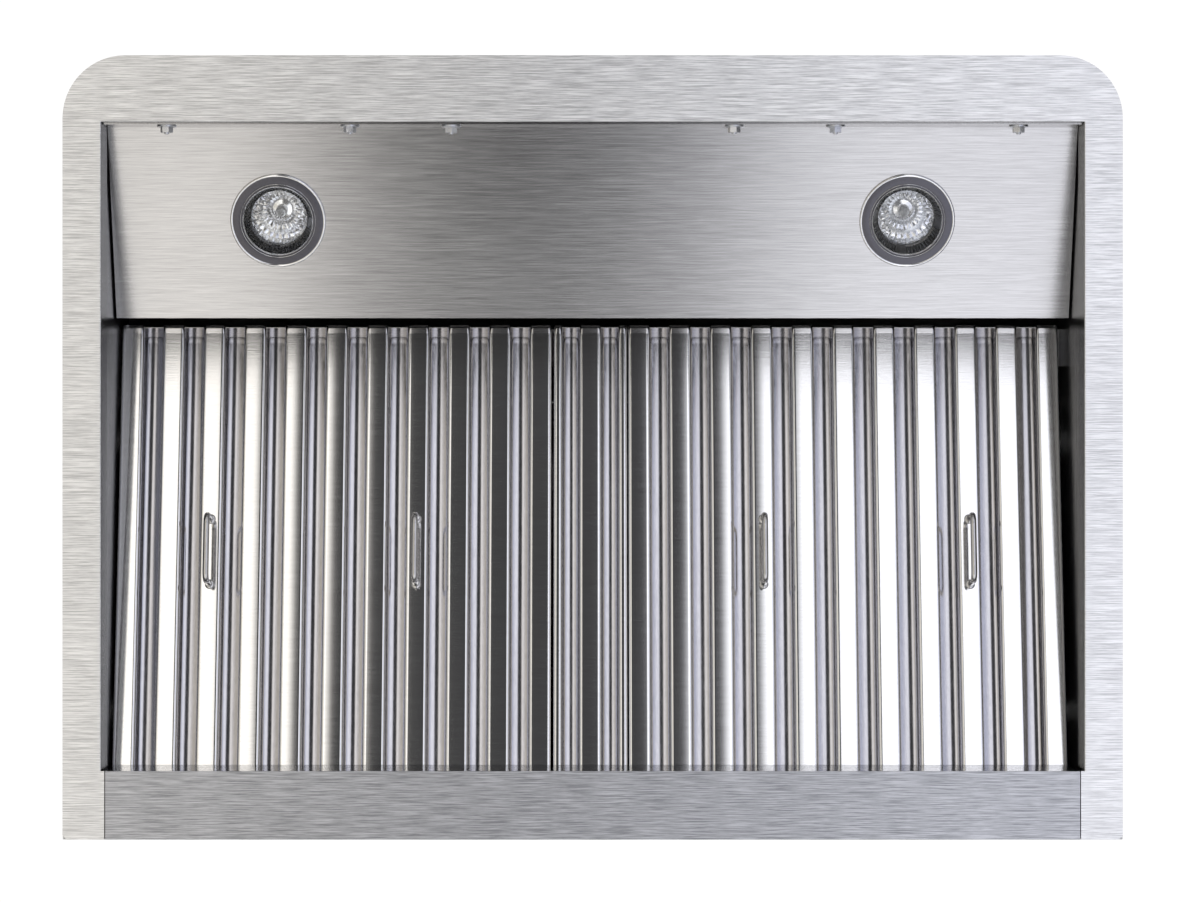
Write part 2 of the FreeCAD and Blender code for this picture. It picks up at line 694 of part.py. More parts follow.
def make_spacer():
    """The narrow filter in the middle: one full baffle between two edge baffles."""
    frame = filter_frame(mm("spacer_x"))
    width = mm("spacer_width")
    edge = mm("spacer_edge")
    caps = list(end_caps(width))
    full = channel(mm("baffle_width"), mm("baffle_side"), mm("baffle_round"))
    thin = channel(edge, mm("baffle_side"), mm("baffle_round"))
    edge_x = (width - edge) / 2
    lows = [
        baffle_run(face, x, 0).cut(caps)
        for face, x in ((thin, -edge_x), (full, 0), (thin, edge_x))
    ]
    solid("spacer_lower_baffles", Part.makeCompound(lows), frame)
    gap_x = (width / 2 - edge + mm("baffle_width") / 2) / 2
    hats = [hat_run(mm("spacer_hat"), x) for x in (-gap_x, gap_x)]
    solid("spacer_upper_baffles", Part.makeCompound(hats), frame)
    solid("spacer_end_caps", Part.makeCompound(caps), frame)


def make_catches():
    """Cross rail over the filters' front ends and the spring clips that grip their pins."""
    low = mm("rail_wall") + mm("filter_rise") + mm("filter_height") + 12
    front = float(rail_y) - mm("filter_run") + 2
    back = front + 28
    x = liner_x
    rail = block("catch_rail", (-x, x), (front, back), (low, low + float(steel)))
    keep(rail, "catch_rail")
    clips = []
    spots = [(mm("spacer_x"), mm("spacer_width"))]
    width = mm("baffle_pitch") * (mm("baffle_count") - 1) + mm("baffle_width")
    spots += [(mm("left_filter_x"), width), (mm("right_filter_x"), width)]
    local = Vector(0, -filter_reach + 6, mm("filter_height") + 3)
    for centre, wide in spots:
        tip = filter_frame(centre).multVec(local)
        for offset in catch_offsets(wide):
            for side in (-1, 1):
                near = tip.x + offset + side * (CATCH_PIN + 0.4)
                leaf_x = near if side > 0 else near - 0.5
                leaf = Part.makeBox(0.5, 9, low - tip.z + 2, Vector(leaf_x, tip.y - 4.5, tip.z - 2))
                clips.append(leaf)
    solid("filter_catches", Part.makeCompound(clips))


# ---- blower ----
def scroll_face(grow):
    """The scroll's outline in the YZ plane, grown outwards by a margin."""
    y = blower_y
    z = blower_z
    top = float(top_z - steel)
    reach = [75.0, 107.0, 115.0, 123.0]
    tongue = Vector(0, y + reach[0], z + reach[0])
    rear = Vector(0, y + reach[1], z)
    under = Vector(0, y, z - reach[2])
    front = Vector(0, y - reach[3], z)
    edges = [
        Part.LineSegment(Vector(0, y + reach[0], top), tongue),
        Part.Arc(tongue, Vector(0, y + 98, z + 43), rear),
        Part.Arc(rear, Vector(0, y + 78.5, z - 78.5), under),
        Part.Arc(under, Vector(0, y - 84.2, z - 84.2), front),
        Part.LineSegment(front, Vector(0, y - 100, top)),
        Part.LineSegment(Vector(0, y - 100, top), Vector(0, y + reach[0], top)),
    ]
    wire = Part.Wire([curve.toShape() for curve in edges])
    if grow:
        wire = wire.makeOffset2D(grow)
    return Part.Face(wire)


def make_scroll():
    """Wrap and two side plates of the blower housing, with their inlet rings."""
    half = mm("scroll_half")
    thick = mm("scroll_sheet")
    top = float(top_z - steel)
    ceiling = Part.makeBox(400, 600, 100, Vector(-200, -200, top))
    outer = scroll_face(thick).extrude(Vector(half * 2, 0, 0)).translated(Vector(-half, 0, 0))
    inner = scroll_face(0).extrude(Vector(half * 2 + 2, 0, 0)).translated(Vector(-half - 1, 0, 0))
    throat = Part.makeBox(half * 2, 175 - 0.01, 30, Vector(-half, blower_y - 100 + 0.005, top - 15))
    wrap = outer.cut(inner).cut(ceiling).cut(throat)
    solid("scroll_wrap", wrap)
    for name, side in (("left", -1), ("right", 1)):
        plate = scroll_face(thick).extrude(Vector(thick, 0, 0)).cut(ceiling)
        plate = plate.translated(Vector(half if side > 0 else -half - thick, 0, 0))
        hole = Part.makeCylinder(mm("inlet_radius"), 400, Vector(-200, blower_y, blower_z), Vector(1, 0, 0))
        solid("scroll_side_" + name, plate.cut(hole))
        throat = mm("inlet_radius") - 0.2
        ring = spin([
            (throat, -6), (throat, 0), (throat + RING_FLANGE, 0), (throat + RING_FLANGE, 1),
            (throat - 0.8, 1), (throat - 0.8, -6),
        ])
        ring.Placement = Placement(
            Vector(side * (half + thick), blower_y, blower_z),
            Rotation(Vector(0, 0, 1), Vector(side, 0, 0)),
        )
        solid("inlet_ring_" + name, ring)


def make_wheel():
    """Double-inlet wheel: centre disc with forward-curved blades and end rings on both sides."""
    outer = mm("wheel_radius")
    inner = mm("wheel_inner")
    half = mm("wheel_half")
    count = int(mm("blade_count"))
    disc = Part.makeCylinder(outer, 1.6, Vector(0, 0, -0.8))
    hub = Part.makeCylinder(12, 30, Vector(0, 0, 0))
    bore = Part.makeCylinder(mm("shaft_radius"), 60, Vector(0, 0, -10))
    rings = []
    for z in (-half, half - 1.5):
        ring = Part.makeCylinder(outer, 1.5, Vector(0, 0, z)).cut(Part.makeCylinder(inner, 1.5, Vector(0, 0, z)))
        rings.append(ring)
    blades = []
    mid = (outer + inner) / 2
    for k in range(count):
        a = 2 * math.pi * k / count
        b = a + 0.09
        c = a + 0.02
        tip = Vector((outer - 0.4) * math.cos(b), (outer - 0.4) * math.sin(b), -half)
        root = Vector((inner + 0.4) * math.cos(a), (inner + 0.4) * math.sin(a), -half)
        belly = Vector(mid * math.cos(c), mid * math.sin(c), -half)
        out = Vector(math.cos(a + math.pi / 2), math.sin(a + math.pi / 2), 0) * 0.9
        edges = [
            Part.Arc(root, belly, tip).toShape(), Part.LineSegment(tip, tip + out).toShape(),
            Part.Arc(tip + out, belly + out, root + out).toShape(), Part.LineSegment(root + out, root).toShape(),
        ]
        blades.append(Part.Face(Part.Wire(edges)).extrude(Vector(0, 0, half * 2)))
    wheel = disc.fuse([hub] + rings + blades).cut(bore)
    along = Placement(Vector(0, blower_y, blower_z), Rotation(Vector(0, 0, 1), Vector(1, 0, 0)))
    solid("fan_wheel", wheel, along)
    shaft = Part.makeCylinder(mm("shaft_radius"), 60, Vector(0, 0, -26))
    solid("fan_shaft", shaft, along)


def make_motor():
    """Motor can inside the left inlet, its three-legged bracket and the run capacitor."""
    along = Placement(Vector(0, blower_y, blower_z), Rotation(Vector(0, 0, 1), Vector(1, 0, 0)))
    radius = mm("motor_radius")
    outer_x = mm("scroll_half") + mm("scroll_sheet") + 8
    length = outer_x - 6
    can = Part.makeCylinder(radius, length, Vector(0, 0, -outer_x))
    can = can.fuse(Part.makeCylinder(12, 3, Vector(0, 0, -6)))
    bore = Part.makeCylinder(mm("shaft_radius") + mm("shaft_play"), 28, Vector(0, 0, -28))
    solid("motor_body", can.cut(bore), along)
    ring = Part.makeCylinder(radius + 3, 2, Vector(0, 0, -outer_x - 2))
    arms = []
    for k in range(3):
        arm = Part.makeBox(mm("inlet_radius") + 22 - radius, 12, 2, Vector(radius, -6, -outer_x - 2))
        foot = Part.makeBox(8, 12, outer_x - mm("scroll_half") - mm("scroll_sheet") + 2)
        foot = foot.translated(Vector(mm("inlet_radius") + 14, -6, -outer_x - 2))
        leg = arm.fuse(foot)
        leg.rotate(Vector(), Vector(0, 0, 1), 90 + 120 * k)
        arms.append(leg)
    solid("motor_bracket", ring.fuse(arms), along)
    side_x = -mm("scroll_half") - mm("scroll_sheet")
    can = Part.makeCylinder(16, 48, Vector(side_x, blower_y - 84, blower_z - 54), Vector(-1, 0, 0))
    solid("run_capacitor", can)


# ---- duct collar and damper ----
def make_collar():
    """Round collar with its screwed flange, seat ring, pin and two butterfly flaps."""
    outer = mm("collar_radius")
    inner = outer - mm("collar_sheet")
    base = float(top_z)
    tall = mm("collar_height")
    at = Placement(Vector(0, collar_y, base), Rotation())
    reach = outer + mm("collar_flange")
    pin_z = mm("flap_height")
    tube = spin([(inner, 0), (reach, 0), (reach, 1.2), (outer, 1.2), (outer, tall), (inner, tall)])
    pin_hole = Part.makeCylinder(mm("pin_radius") + 0.02, reach * 2, Vector(-reach, 0, pin_z), Vector(1, 0, 0))
    solid("duct_collar", tube.cut(pin_hole), at)
    screws = []
    for k in range(8):
        a = math.radians(22.5 + 45 * k)
        spot = Vector((outer + 9) * math.cos(a), (outer + 9) * math.sin(a), 1.2)
        head = Part.makeSphere(5.2, Vector(spot.x, spot.y, spot.z - 3.4), Vector(0, 0, 1), 0, 90)
        head = head.common(Part.makeCylinder(5, 4, spot))
        cross = Part.makeBox(5, 0.9, 1, Vector(spot.x - 2.5, spot.y - 0.45, spot.z + 1.1))
        screws.append(head.cut(cross))
    solid("collar_screws", Part.makeCompound(screws), at)
    seat = spin([(inner - 4, pin_z - 5), (inner, pin_z - 5), (inner, pin_z - 3), (inner - 4, pin_z - 3)])
    solid("damper_seal", seat, at)
    solid("damper_pin", Part.makeCylinder(
        mm("pin_radius"), outer * 2 - 0.4, Vector(0.2 - outer, 0, pin_z), Vector(1, 0, 0)), at)
    for name, side, knuckles in (("front", -1, (-80, 0, 80)), ("rear", 1, (-40, 40))):
        solid("damper_flap_" + name, damper_flap(side, knuckles, inner, pin_z), at)


def damper_flap(side, knuckles, inner, pin_z):
    """Half a disc that swings on the pin by its knuckles."""
    thick = mm("flap_sheet")
    play = mm("pin_radius") + 0.08
    low = pin_z - 2.6
    clear = 4.2
    disc = Part.makeCylinder(inner - 1.2, thick, Vector(0, 0, low))
    far = Part.makeBox(2 * inner, inner, 4, Vector(-inner, clear if side > 0 else -inner - clear, low - 1))
    flap = disc.common(far)
    for x in knuckles:
        barrel = Part.makeCylinder(play + 1.1, 24, Vector(x - 12, 0, pin_z), Vector(1, 0, 0))
        tongue = Part.makeBox(24, clear + 3, thick, Vector(x - 12, 0 if side > 0 else -clear - 3, low))
        flap = flap.fuse([barrel, tongue])
    hole = Part.makeCylinder(play, 2 * inner, Vector(-inner, 0, pin_z), Vector(1, 0, 0))
    return flap.cut(hole)


# ---- controls ----
def button_x(index):
    return cell["button_pitch"] * (index - 2)


def make_controls():
    """Five push buttons flush with the front band and the switch housing behind them."""
    face = float(front_y)
    back = float(front_y + steel)
    z = mm("button_height")
    radius = mm("button_radius")
    guide = 3.5
    box = Part.makeBox(152, 22, 34, Vector(-76, back, z - 17))
    bores = []
    for index, name in enumerate(BUTTONS):
        x = float(button_x(index))
        inward = Vector(0, 1, 0)
        cap = Part.makeCylinder(radius, 6, Vector(x, face, z), inward)
        cap = cap.makeFillet(0.6, [edge for edge in cap.Edges if abs(edge.CenterOfMass.y - face) < 0.01
                                   and edge.Length > 10])
        stem = Part.makeCylinder(guide, 10, Vector(x, face + 5, z), inward)
        solid("button_" + name, cap.fuse(stem))
        wide = Part.makeCylinder(radius + mm("button_gap"), 9, Vector(x, back - 1, z), inward)
        narrow = Part.makeCylinder(guide + 0.3, 21, Vector(x, back - 1, z), inward)
        bores += [wide, narrow]
    solid("switch_housing", box.cut(bores))


# ---- electrics ----
def make_electrics():
    """Junction box under the top panel, its cover, and the cable gland above it."""
    x0, y0 = GLAND_X - 50, GLAND_Y - 30
    top = float(top_z - steel)
    deep = 48
    shell = Part.makeBox(100, 58, deep, Vector(x0, y0, top - deep))
    hollow = Part.makeBox(97.6, 55.6, deep, Vector(x0 + 1.2, y0 + 1.2, top - deep - 1.2))
    neck = Part.makeCylinder(GLAND_NECK, 10, Vector(GLAND_X, GLAND_Y, top - 5))
    solid("junction_box", shell.cut(hollow).cut(neck))
    lid = Part.makeBox(100, 58, 1.2, Vector(x0, y0, top - deep - 1.2))
    solid("junction_cover", lid)
    at = Placement(Vector(GLAND_X, GLAND_Y, float(top_z)), Rotation())
    gland = spin([
        (6, -4), (GLAND_NECK - 0.2, -4), (GLAND_NECK - 0.2, 0), (15, 0), (15, 6), (12.5, 8), (12.5, 18), (6, 18),
    ])
    solid("cable_gland", gland, at)


# ---- places and small sizes shared by several pieces ----
LINER_LAP = 9.0
LINER_CORNER = 21.0
PANEL_GAP = 0.4
TRIM_DEEP = 12.0
CATCH_PIN = 3.0
CAP_SETBACK = 1.0
HAT_DROP = 1.0
NUT_Z = 17.0
STUD_LENGTH = 7.3
RING_FLANGE = 9.2
NUT_SPREAD = (102.0, 175.0, 307.0)
GLAND_X = -200.0
GLAND_Y = 243.0
GLAND_NECK = 10.0
BUTTONS = ("light", "power", "low", "medium", "high")


def build():
    make_rim_frame()
    make_front_band()
    make_rear_rail()
    make_front_panel()
    make_side_panel("side_panel_left", -1)
    make_side_panel("side_panel_right", 1)
    make_top_panel()
    make_back_panel()
    make_side_liner("side_liner_left", -1)
    make_side_liner("side_liner_right", 1)
    make_light_panel()
    make_lamp("left", -1)
    make_lamp("right", 1)
    make_lamp_fittings()
    make_lip_fasteners()
    make_filter("left", mm("left_filter_x"))
    make_filter("right", mm("right_filter_x"))
    make_spacer()
    make_catches()
    make_scroll()
    make_wheel()
    make_motor()
    make_collar()
    make_controls()
    make_electrics()


def write():
    """Checks every object and writes each sub-part."""
    doc.recompute()
    for made in doc.Objects:
        if {"Invalid", "Error"} & set(made.State):
            raise RuntimeError(f"{made.Label} is {made.State}")
    os.makedirs("parts", exist_ok=True)
    for made in nodes:
        if made.Shape.isNull() or not made.Shape.isValid():
            raise RuntimeError(made.Label + " has no valid shape")
        made.Shape.exportStep(f"parts/{made.Label}.step")
        box = made.Shape.BoundBox
        print(f"{made.Label}: {len(made.Shape.Solids)} solids, {made.Shape.Volume / 1000:.1f} cm3,"
              f" x {box.XMin:.1f} {box.XMax:.1f} y {box.YMin:.1f} {box.YMax:.1f} z {box.ZMin:.1f} {box.ZMax:.1f}")


build()
write()
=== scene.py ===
"""Ducted range hood with baffle filters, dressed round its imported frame.

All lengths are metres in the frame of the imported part: +X the hood's right, -Y its front,
+Y the wall and +Z up.
"""
import json
import math

import bmesh
import bpy
from mathutils import Matrix, Vector

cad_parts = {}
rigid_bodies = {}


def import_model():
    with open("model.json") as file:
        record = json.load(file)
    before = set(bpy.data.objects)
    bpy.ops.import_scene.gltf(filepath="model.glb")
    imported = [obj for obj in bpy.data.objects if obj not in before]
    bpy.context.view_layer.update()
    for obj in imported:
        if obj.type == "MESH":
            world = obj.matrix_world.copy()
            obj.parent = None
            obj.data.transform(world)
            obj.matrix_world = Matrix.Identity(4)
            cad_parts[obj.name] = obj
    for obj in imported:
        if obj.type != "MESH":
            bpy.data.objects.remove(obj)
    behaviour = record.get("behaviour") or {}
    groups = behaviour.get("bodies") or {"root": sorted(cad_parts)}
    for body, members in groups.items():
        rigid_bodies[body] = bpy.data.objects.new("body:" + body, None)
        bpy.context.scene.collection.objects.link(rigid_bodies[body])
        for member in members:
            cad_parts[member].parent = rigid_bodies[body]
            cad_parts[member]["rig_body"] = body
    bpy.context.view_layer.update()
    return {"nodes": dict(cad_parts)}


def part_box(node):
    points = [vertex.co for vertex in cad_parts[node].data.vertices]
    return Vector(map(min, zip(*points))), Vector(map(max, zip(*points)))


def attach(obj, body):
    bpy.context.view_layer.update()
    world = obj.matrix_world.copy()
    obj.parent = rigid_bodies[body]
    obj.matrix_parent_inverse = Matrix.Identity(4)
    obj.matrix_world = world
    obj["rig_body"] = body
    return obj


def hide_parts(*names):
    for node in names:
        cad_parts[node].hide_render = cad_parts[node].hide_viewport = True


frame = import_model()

MM = 0.001

# ---- places taken from the frame ----
LIP_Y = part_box("light_panel")[0].y
RAIL_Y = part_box("rear_rail")[0].y
RAIL_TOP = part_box("rear_rail")[1].z
WALL_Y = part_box("back_panel")[1].y
TOP_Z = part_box("top_panel")[1].z
CANOPY_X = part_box("side_panel_right")[1].x
COLLAR_LOW, COLLAR_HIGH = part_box("duct_collar")
COLLAR_Y = (COLLAR_LOW.y + COLLAR_HIGH.y) / 2
BLOWER = Vector((0, 110, 285)) * MM

# ---- sizes repeated from the part ----
FILTER_SLOPE = math.atan2(53.8, 323.0)
FILTER_REACH = math.hypot(53.8, 323.0) * MM
FILTER_TAIL = 12 * MM
FILTER_LIFT = 0.72 * MM
FILTER_TALL = 20 * MM
BAFFLE_PITCH = 30.45 * MM
BAFFLE_COUNT = 11
BAFFLE_WIDE = 16.4 * MM
LOWER_TALL, LOWER_CORNER = 9 * MM, 2.2 * MM
HAT_WIDE, HAT_TALL, HAT_CORNER = 20 * MM, 14 * MM, 6 * MM
HAT_LIFT, HAT_START, HAT_SHORT = 5 * MM, 1.8 * MM, 2.6 * MM
SHEET = 0.8 * MM
SAME_POINT = 1e-7
WEB_CROWN = 0.019
HAT_CROWN = 0.24
LEFT_X, SPACER_X, RIGHT_X = -191.0 * MM, -1.7 * MM, 186.95 * MM
SPACER_WIDE = 54.6 * MM
PANEL_SLOPE = math.atan2(45.0, 136.4)
LAMP_SPREAD = 230 * MM


def add_node(tree, kind, inputs, settings):
    """A node with its settings made and its inputs linked or given values."""
    made = tree.nodes.new(kind)
    for name, value in settings.items():
        setattr(made, name, value)
    for key, value in dict(inputs).items():
        if isinstance(value, bpy.types.NodeSocket):
            tree.links.new(value, made.inputs[key])
        else:
            made.inputs[key].default_value = value
    return made


# ---- finishes ----
class Finish:
    """A finish made node by node; its patterns read Object coordinates."""

    def __init__(self, name, **shader):
        self.material = bpy.data.materials.new(name)
        self.material.use_nodes = True
        self.tree = self.material.node_tree
        self.shader = self.tree.nodes["Principled BSDF"]
        for socket, value in shader.items():
            self.shader.inputs[socket.replace("_", " ")].default_value = value
        places = self.node("ShaderNodeTexCoord").outputs
        self.place, self.facing = places["Object"], places["Normal"]

    def node(self, kind, inputs=(), **settings):
        return add_node(self.tree, kind, inputs, settings)

    def stretched(self, scale):
        """Object coordinates, scaled per axis."""
        return self.node("ShaderNodeMapping", {"Vector": self.place, "Scale": scale}).outputs[0]

    def noise(self, vector, detail=2.0, rough=0.5):
        inputs = {"Vector": vector, "Scale": 1.0, "Detail": detail, "Roughness": rough}
        return self.node("ShaderNodeTexNoise", inputs).outputs["Fac"]

    def between(self, value, low, high, start=0.3, end=0.7):
        """A value carried from the range start-end to the range low-high."""
        inputs = {"Value": value, "From Min": start, "From Max": end, "To Min": low, "To Max": high}
        return self.node("ShaderNodeMapRange", inputs).outputs["Result"]

    def sum(self, first, second, share=0.5):
        """Two values mixed."""
        mixed = self.node("ShaderNodeMix", {0: share, 2: first, 3: second}, data_type="FLOAT")
        return mixed.outputs[0]

    def tint(self, value, low, high):
        mixed = self.node("ShaderNodeMix", data_type="RGBA")
        self.tree.links.new(value, mixed.inputs[0])
        mixed.inputs[6].default_value = (*low, 1)
        mixed.inputs[7].default_value = (*high, 1)
        return mixed.outputs[2]

    def levelness(self, edge=None):
        """How level a face lies, from 0 (it stands up) to 1; with an edge, 1 beyond it and else 0."""
        level = self.node("ShaderNodeSeparateXYZ", {0: self.facing}).outputs[2]
        level = self.node("ShaderNodeMath", {0: level}, operation="ABSOLUTE").outputs[0]
        if edge is None:
            return level
        return self.node("ShaderNodeMath", {0: level, 1: edge}, operation="GREATER_THAN").outputs[0]

    def wear(self, colour, rough, height=None, depth=0.0):
        """Wires colour, roughness and height to the shader and returns the material."""
        self.tree.links.new(colour, self.shader.inputs["Base Color"])
        self.tree.links.new(rough, self.shader.inputs["Roughness"])
        if height is not None:
            bump = self.node("ShaderNodeBump", {"Height": height, "Distance": depth, "Strength": 1.0})
            self.tree.links.new(bump.outputs[0], self.shader.inputs["Normal"])
        return self.material


GRAINS = {"X": (1, 0, 0), "Y": (0, 1, 0), "Z": (0, 0, 1), "round": (1, 1, 0)}
STREAK = 7        # a streak is this many times broader than a scratch
LYING = 0.9       # a face lies level above this levelness


def brushed(name, dark, light, rough, along="X", fine=900, depth=0.05, spread=0.06, long=7, bands=0.35,
            soft=0.16, upright_gloss_and_shade=None):
    """Stainless sheet brushed one way: fine scratches, broader streaks and faint handling marks.

    Long and fine are the scratches along and across the grain, per metre, and bands the share of streaks.
    A smaller soft makes the scratches stand out more. The upright pair gives faces that stand up a roughness
    of their own and a factor that darkens their colour towards black, as painted shade.
    """
    made = Finish(name, Metallic=1.0)
    scratch = tuple(long if runs else fine for runs in GRAINS[along])
    scratches, streaks = [
        made.stretched(tuple(value / share for value in scratch)) for share in (1, STREAK)]
    if along == "round":
        flat = made.levelness(LYING)
        level = [made.stretched((long / share, fine / share, fine / share)) for share in (1, STREAK)]
        scratches, streaks = [
            made.node("ShaderNodeMix", {0: flat, 4: standing, 5: lying}, data_type="VECTOR").outputs[1]
            for standing, lying in zip((scratches, streaks), level)]
    fine_grain = made.noise(scratches, detail=3, rough=0.7)
    broad_grain = made.noise(streaks, detail=2, rough=0.6)
    marks = made.noise(made.stretched((5, 5, 5)), detail=3)
    grain = made.sum(fine_grain, broad_grain, bands)
    colour = made.tint(made.between(grain, 0, 1, 0.5 - soft, 0.5 + soft), dark, light)
    mixed = made.sum(grain, marks, 0.35)
    roughness = made.between(mixed, rough - spread, rough + spread)
    if upright_gloss_and_shade:
        level = made.levelness()
        smooth, shade = upright_gloss_and_shade
        roughness = made.sum(smooth, roughness, level)
        # painted shade: the shade factor darkens the colour of faces that stand up towards black
        share = made.between(level, shade, 1, 0.2, 0.8)
        colour = made.node("ShaderNodeMix", {0: share, 6: (0, 0, 0, 1), 7: colour},
                           data_type="RGBA").outputs[2]
    return made.wear(colour, roughness, grain, depth * MM)


def rough_part(name, low, high, rough, metal=0.0, scale=900, depth=0.04, cloud=12, **shader):
    """A moulded, painted or cast finish: fine texture, slight mottling and rubbed roughness."""
    made = Finish(name, Metallic=metal, **shader)
    texture = made.noise(made.stretched((scale,) * 3), detail=2)
    mottle = made.noise(made.stretched((cloud,) * 3), detail=4)
    colour = made.tint(made.between(made.sum(texture, mottle, 0.6), 0, 1), low, high)
    roughness = made.between(made.sum(texture, mottle, 0.5), rough - 0.08, rough + 0.08)
    return made.wear(colour, roughness, texture, depth * MM)


def galvanised(name, dark, light, rough, grain):
    """Zinc coated sheet with its angular crystals."""
    made = Finish(name, Metallic=1.0)
    crystals = made.node("ShaderNodeTexVoronoi", {"Vector": made.place, "Scale": grain})
    shade = made.node("ShaderNodeSeparateColor", {0: crystals.outputs["Color"]}).outputs[0]
    dust = made.noise(made.stretched((30, 30, 30)), detail=4)
    mixed = made.sum(shade, dust, 0.45)
    colour = made.tint(made.between(mixed, 0, 1, 0.2, 0.8), dark, light)
    return made.wear(colour, made.between(mixed, rough - 0.1, rough + 0.1, 0.2, 0.8), mixed, 0.02 * MM)


CANOPY = {"dark": (0.50, 0.50, 0.50), "light": (0.64, 0.635, 0.63), "fine": 2000, "long": 24, "bands": 0.12}
OUTER = brushed("brushed_canopy", rough=0.36, depth=0.04, **CANOPY)
BAND = brushed("brushed_canopy_band", rough=0.34, along="round", depth=0.03, **CANOPY)
SLOPE = brushed("brushed_front_panel", rough=0.34, along="round", depth=0.03, **CANOPY)
# the rim's upright lip is darkened to 0.22 of the sheet's colour as painted shade
RIM = brushed("brushed_rim", (0.54, 0.54, 0.54), (0.99, 0.99, 0.985), 0.38, "X", fine=1750, depth=0.07,
              long=34, bands=0.06, soft=0.09, upright_gloss_and_shade=(0.20, 0.22))
STRIP = brushed("brushed_rear_strip", (0.28, 0.285, 0.30), (0.61, 0.615, 0.64), 0.38, "X", fine=1750,
                depth=0.06, long=34, bands=0.06, soft=0.09, upright_gloss_and_shade=(0.05, 1.0))
LAMP_SHEET = brushed("brushed_light_panel", (0.40, 0.395, 0.395), (0.60, 0.595, 0.595), 0.19, "X", fine=2000,
                     depth=0.022, spread=0.04, long=30, bands=0.12)
# the liners' steel is painted far darker than the canopy's sheet, as painted shade on the side walls
LINER = brushed("brushed_liner", (0.16, 0.16, 0.17), (0.27, 0.27, 0.28), 0.25, "Y", fine=1600, depth=0.03,
                long=20, bands=0.15)
BAFFLE = brushed("polished_lower_baffle", (0.76, 0.75, 0.74), (0.86, 0.855, 0.85), 0.08, "X", fine=1500,
                 depth=0.006, spread=0.02, long=60, bands=0.15)
# the upper baffles are painted darker and faintly cool: painted shade for their place between the lower
# baffles and a painted reflection of cool light
HAT = brushed("polished_upper_baffle", (0.44, 0.435, 0.455), (0.54, 0.53, 0.555), 0.12, "Y", fine=900,
              depth=0.006)
END_PLATE = brushed("plain_end_plate", (0.50, 0.49, 0.48), (0.66, 0.65, 0.64), 0.30, "X", fine=800,
                    depth=0.03)
WIRE = brushed("bright_handle_wire", (0.46, 0.45, 0.44), (0.62, 0.61, 0.60), 0.10, "Y", fine=500, depth=0.01,
               spread=0.04)
BEAD = brushed("bright_trim_bead", (0.70, 0.70, 0.70), (0.88, 0.88, 0.88), 0.10, "X", fine=400, depth=0.005,
               spread=0.04)
TRIM = rough_part("satin_trim_ring", (0.09, 0.088, 0.10), (0.15, 0.148, 0.165), 0.36, 1.0, depth=0.012)
RECESS = rough_part("dark_trim_recess", (0.13, 0.13, 0.13), (0.24, 0.24, 0.24), 0.30, 1.0, depth=0.02)
MIRROR = rough_part("reflector_coating", (0.74, 0.75, 0.77), (0.99, 0.99, 1.0), 0.07, 1.0,
                    depth=0.002, cloud=420, scale=450)
CERAMIC = rough_part("glazed_ceramic", (0.70, 0.68, 0.62), (0.82, 0.80, 0.74), 0.5, depth=0.03)
ZINC = rough_part("zinc_plate", (0.56, 0.57, 0.60), (0.74, 0.75, 0.78), 0.30, 1.0, depth=0.01, cloud=90)
BLACK = rough_part("black_moulding", (0.020, 0.020, 0.021), (0.040, 0.040, 0.042), 0.48)
GREY = rough_part("grey_moulding", (0.26, 0.27, 0.28), (0.34, 0.35, 0.36), 0.50)
BUTTON = brushed("spun_button_face", (0.55, 0.55, 0.55), (0.76, 0.75, 0.74), 0.24, "X", fine=900, depth=0.02)
PAINT = rough_part("motor_enamel", (0.030, 0.032, 0.036), (0.060, 0.063, 0.068), 0.36,
                   depth=0.05, scale=500, Coat_Weight=0.3)
SHAFT = brushed("ground_shaft", (0.58, 0.58, 0.58), (0.74, 0.74, 0.74), 0.20, "Z", fine=900, depth=0.01)
ZINC_SHEET = galvanised("galvanised_sheet", (0.42, 0.43, 0.45), (0.66, 0.67, 0.69), 0.38, 140)
SEAL = rough_part("foam_seal", (0.030, 0.030, 0.030), (0.075, 0.075, 0.075), 0.85, depth=0.2, scale=1500)


def clear_glass(name, rough, tint):
    made = Finish(name, Transmission_Weight=1.0, IOR=1.46)
    film = made.noise(made.stretched((80, 80, 80)), detail=3)
    return made.wear(made.tint(film, tint, (1, 1, 1)), made.between(film, rough * 0.5, rough * 1.5), film,
                     0.002 * MM)


GLASS = clear_glass("lamp_cover_glass", 0.0, (0.96, 0.97, 0.97))
QUARTZ = clear_glass("frosted_capsule", 0.25, (0.90, 0.92, 0.93))


# ---- node trees that repeat and bend ----
class Tree:
    """A geometry node tree with named inputs that ends in Realize Instances and Set Material."""

    def __init__(self, name, **inputs):
        self.group = bpy.data.node_groups.new(name, "GeometryNodeTree")
        face = self.group.interface
        face.new_socket("Geometry", in_out="INPUT", socket_type="NodeSocketGeometry")
        for label, kind in inputs.items():
            face.new_socket(label, in_out="INPUT", socket_type="NodeSocket" + kind)
        face.new_socket("Finish", in_out="INPUT", socket_type="NodeSocketMaterial")
        face.new_socket("Geometry", in_out="OUTPUT", socket_type="NodeSocketGeometry")
        self.inputs = self.group.nodes.new("NodeGroupInput").outputs

    def node(self, kind, inputs=(), **settings):
        return add_node(self.group, kind, inputs, settings)

    def end(self, geometry):
        real = self.node("GeometryNodeRealizeInstances", {0: geometry})
        dressed = self.node("GeometryNodeSetMaterial", {"Geometry": real.outputs[0],
                                                        "Material": self.inputs["Finish"]})
        self.node("NodeGroupOutput", {0: dressed.outputs[0]})
        return self.group


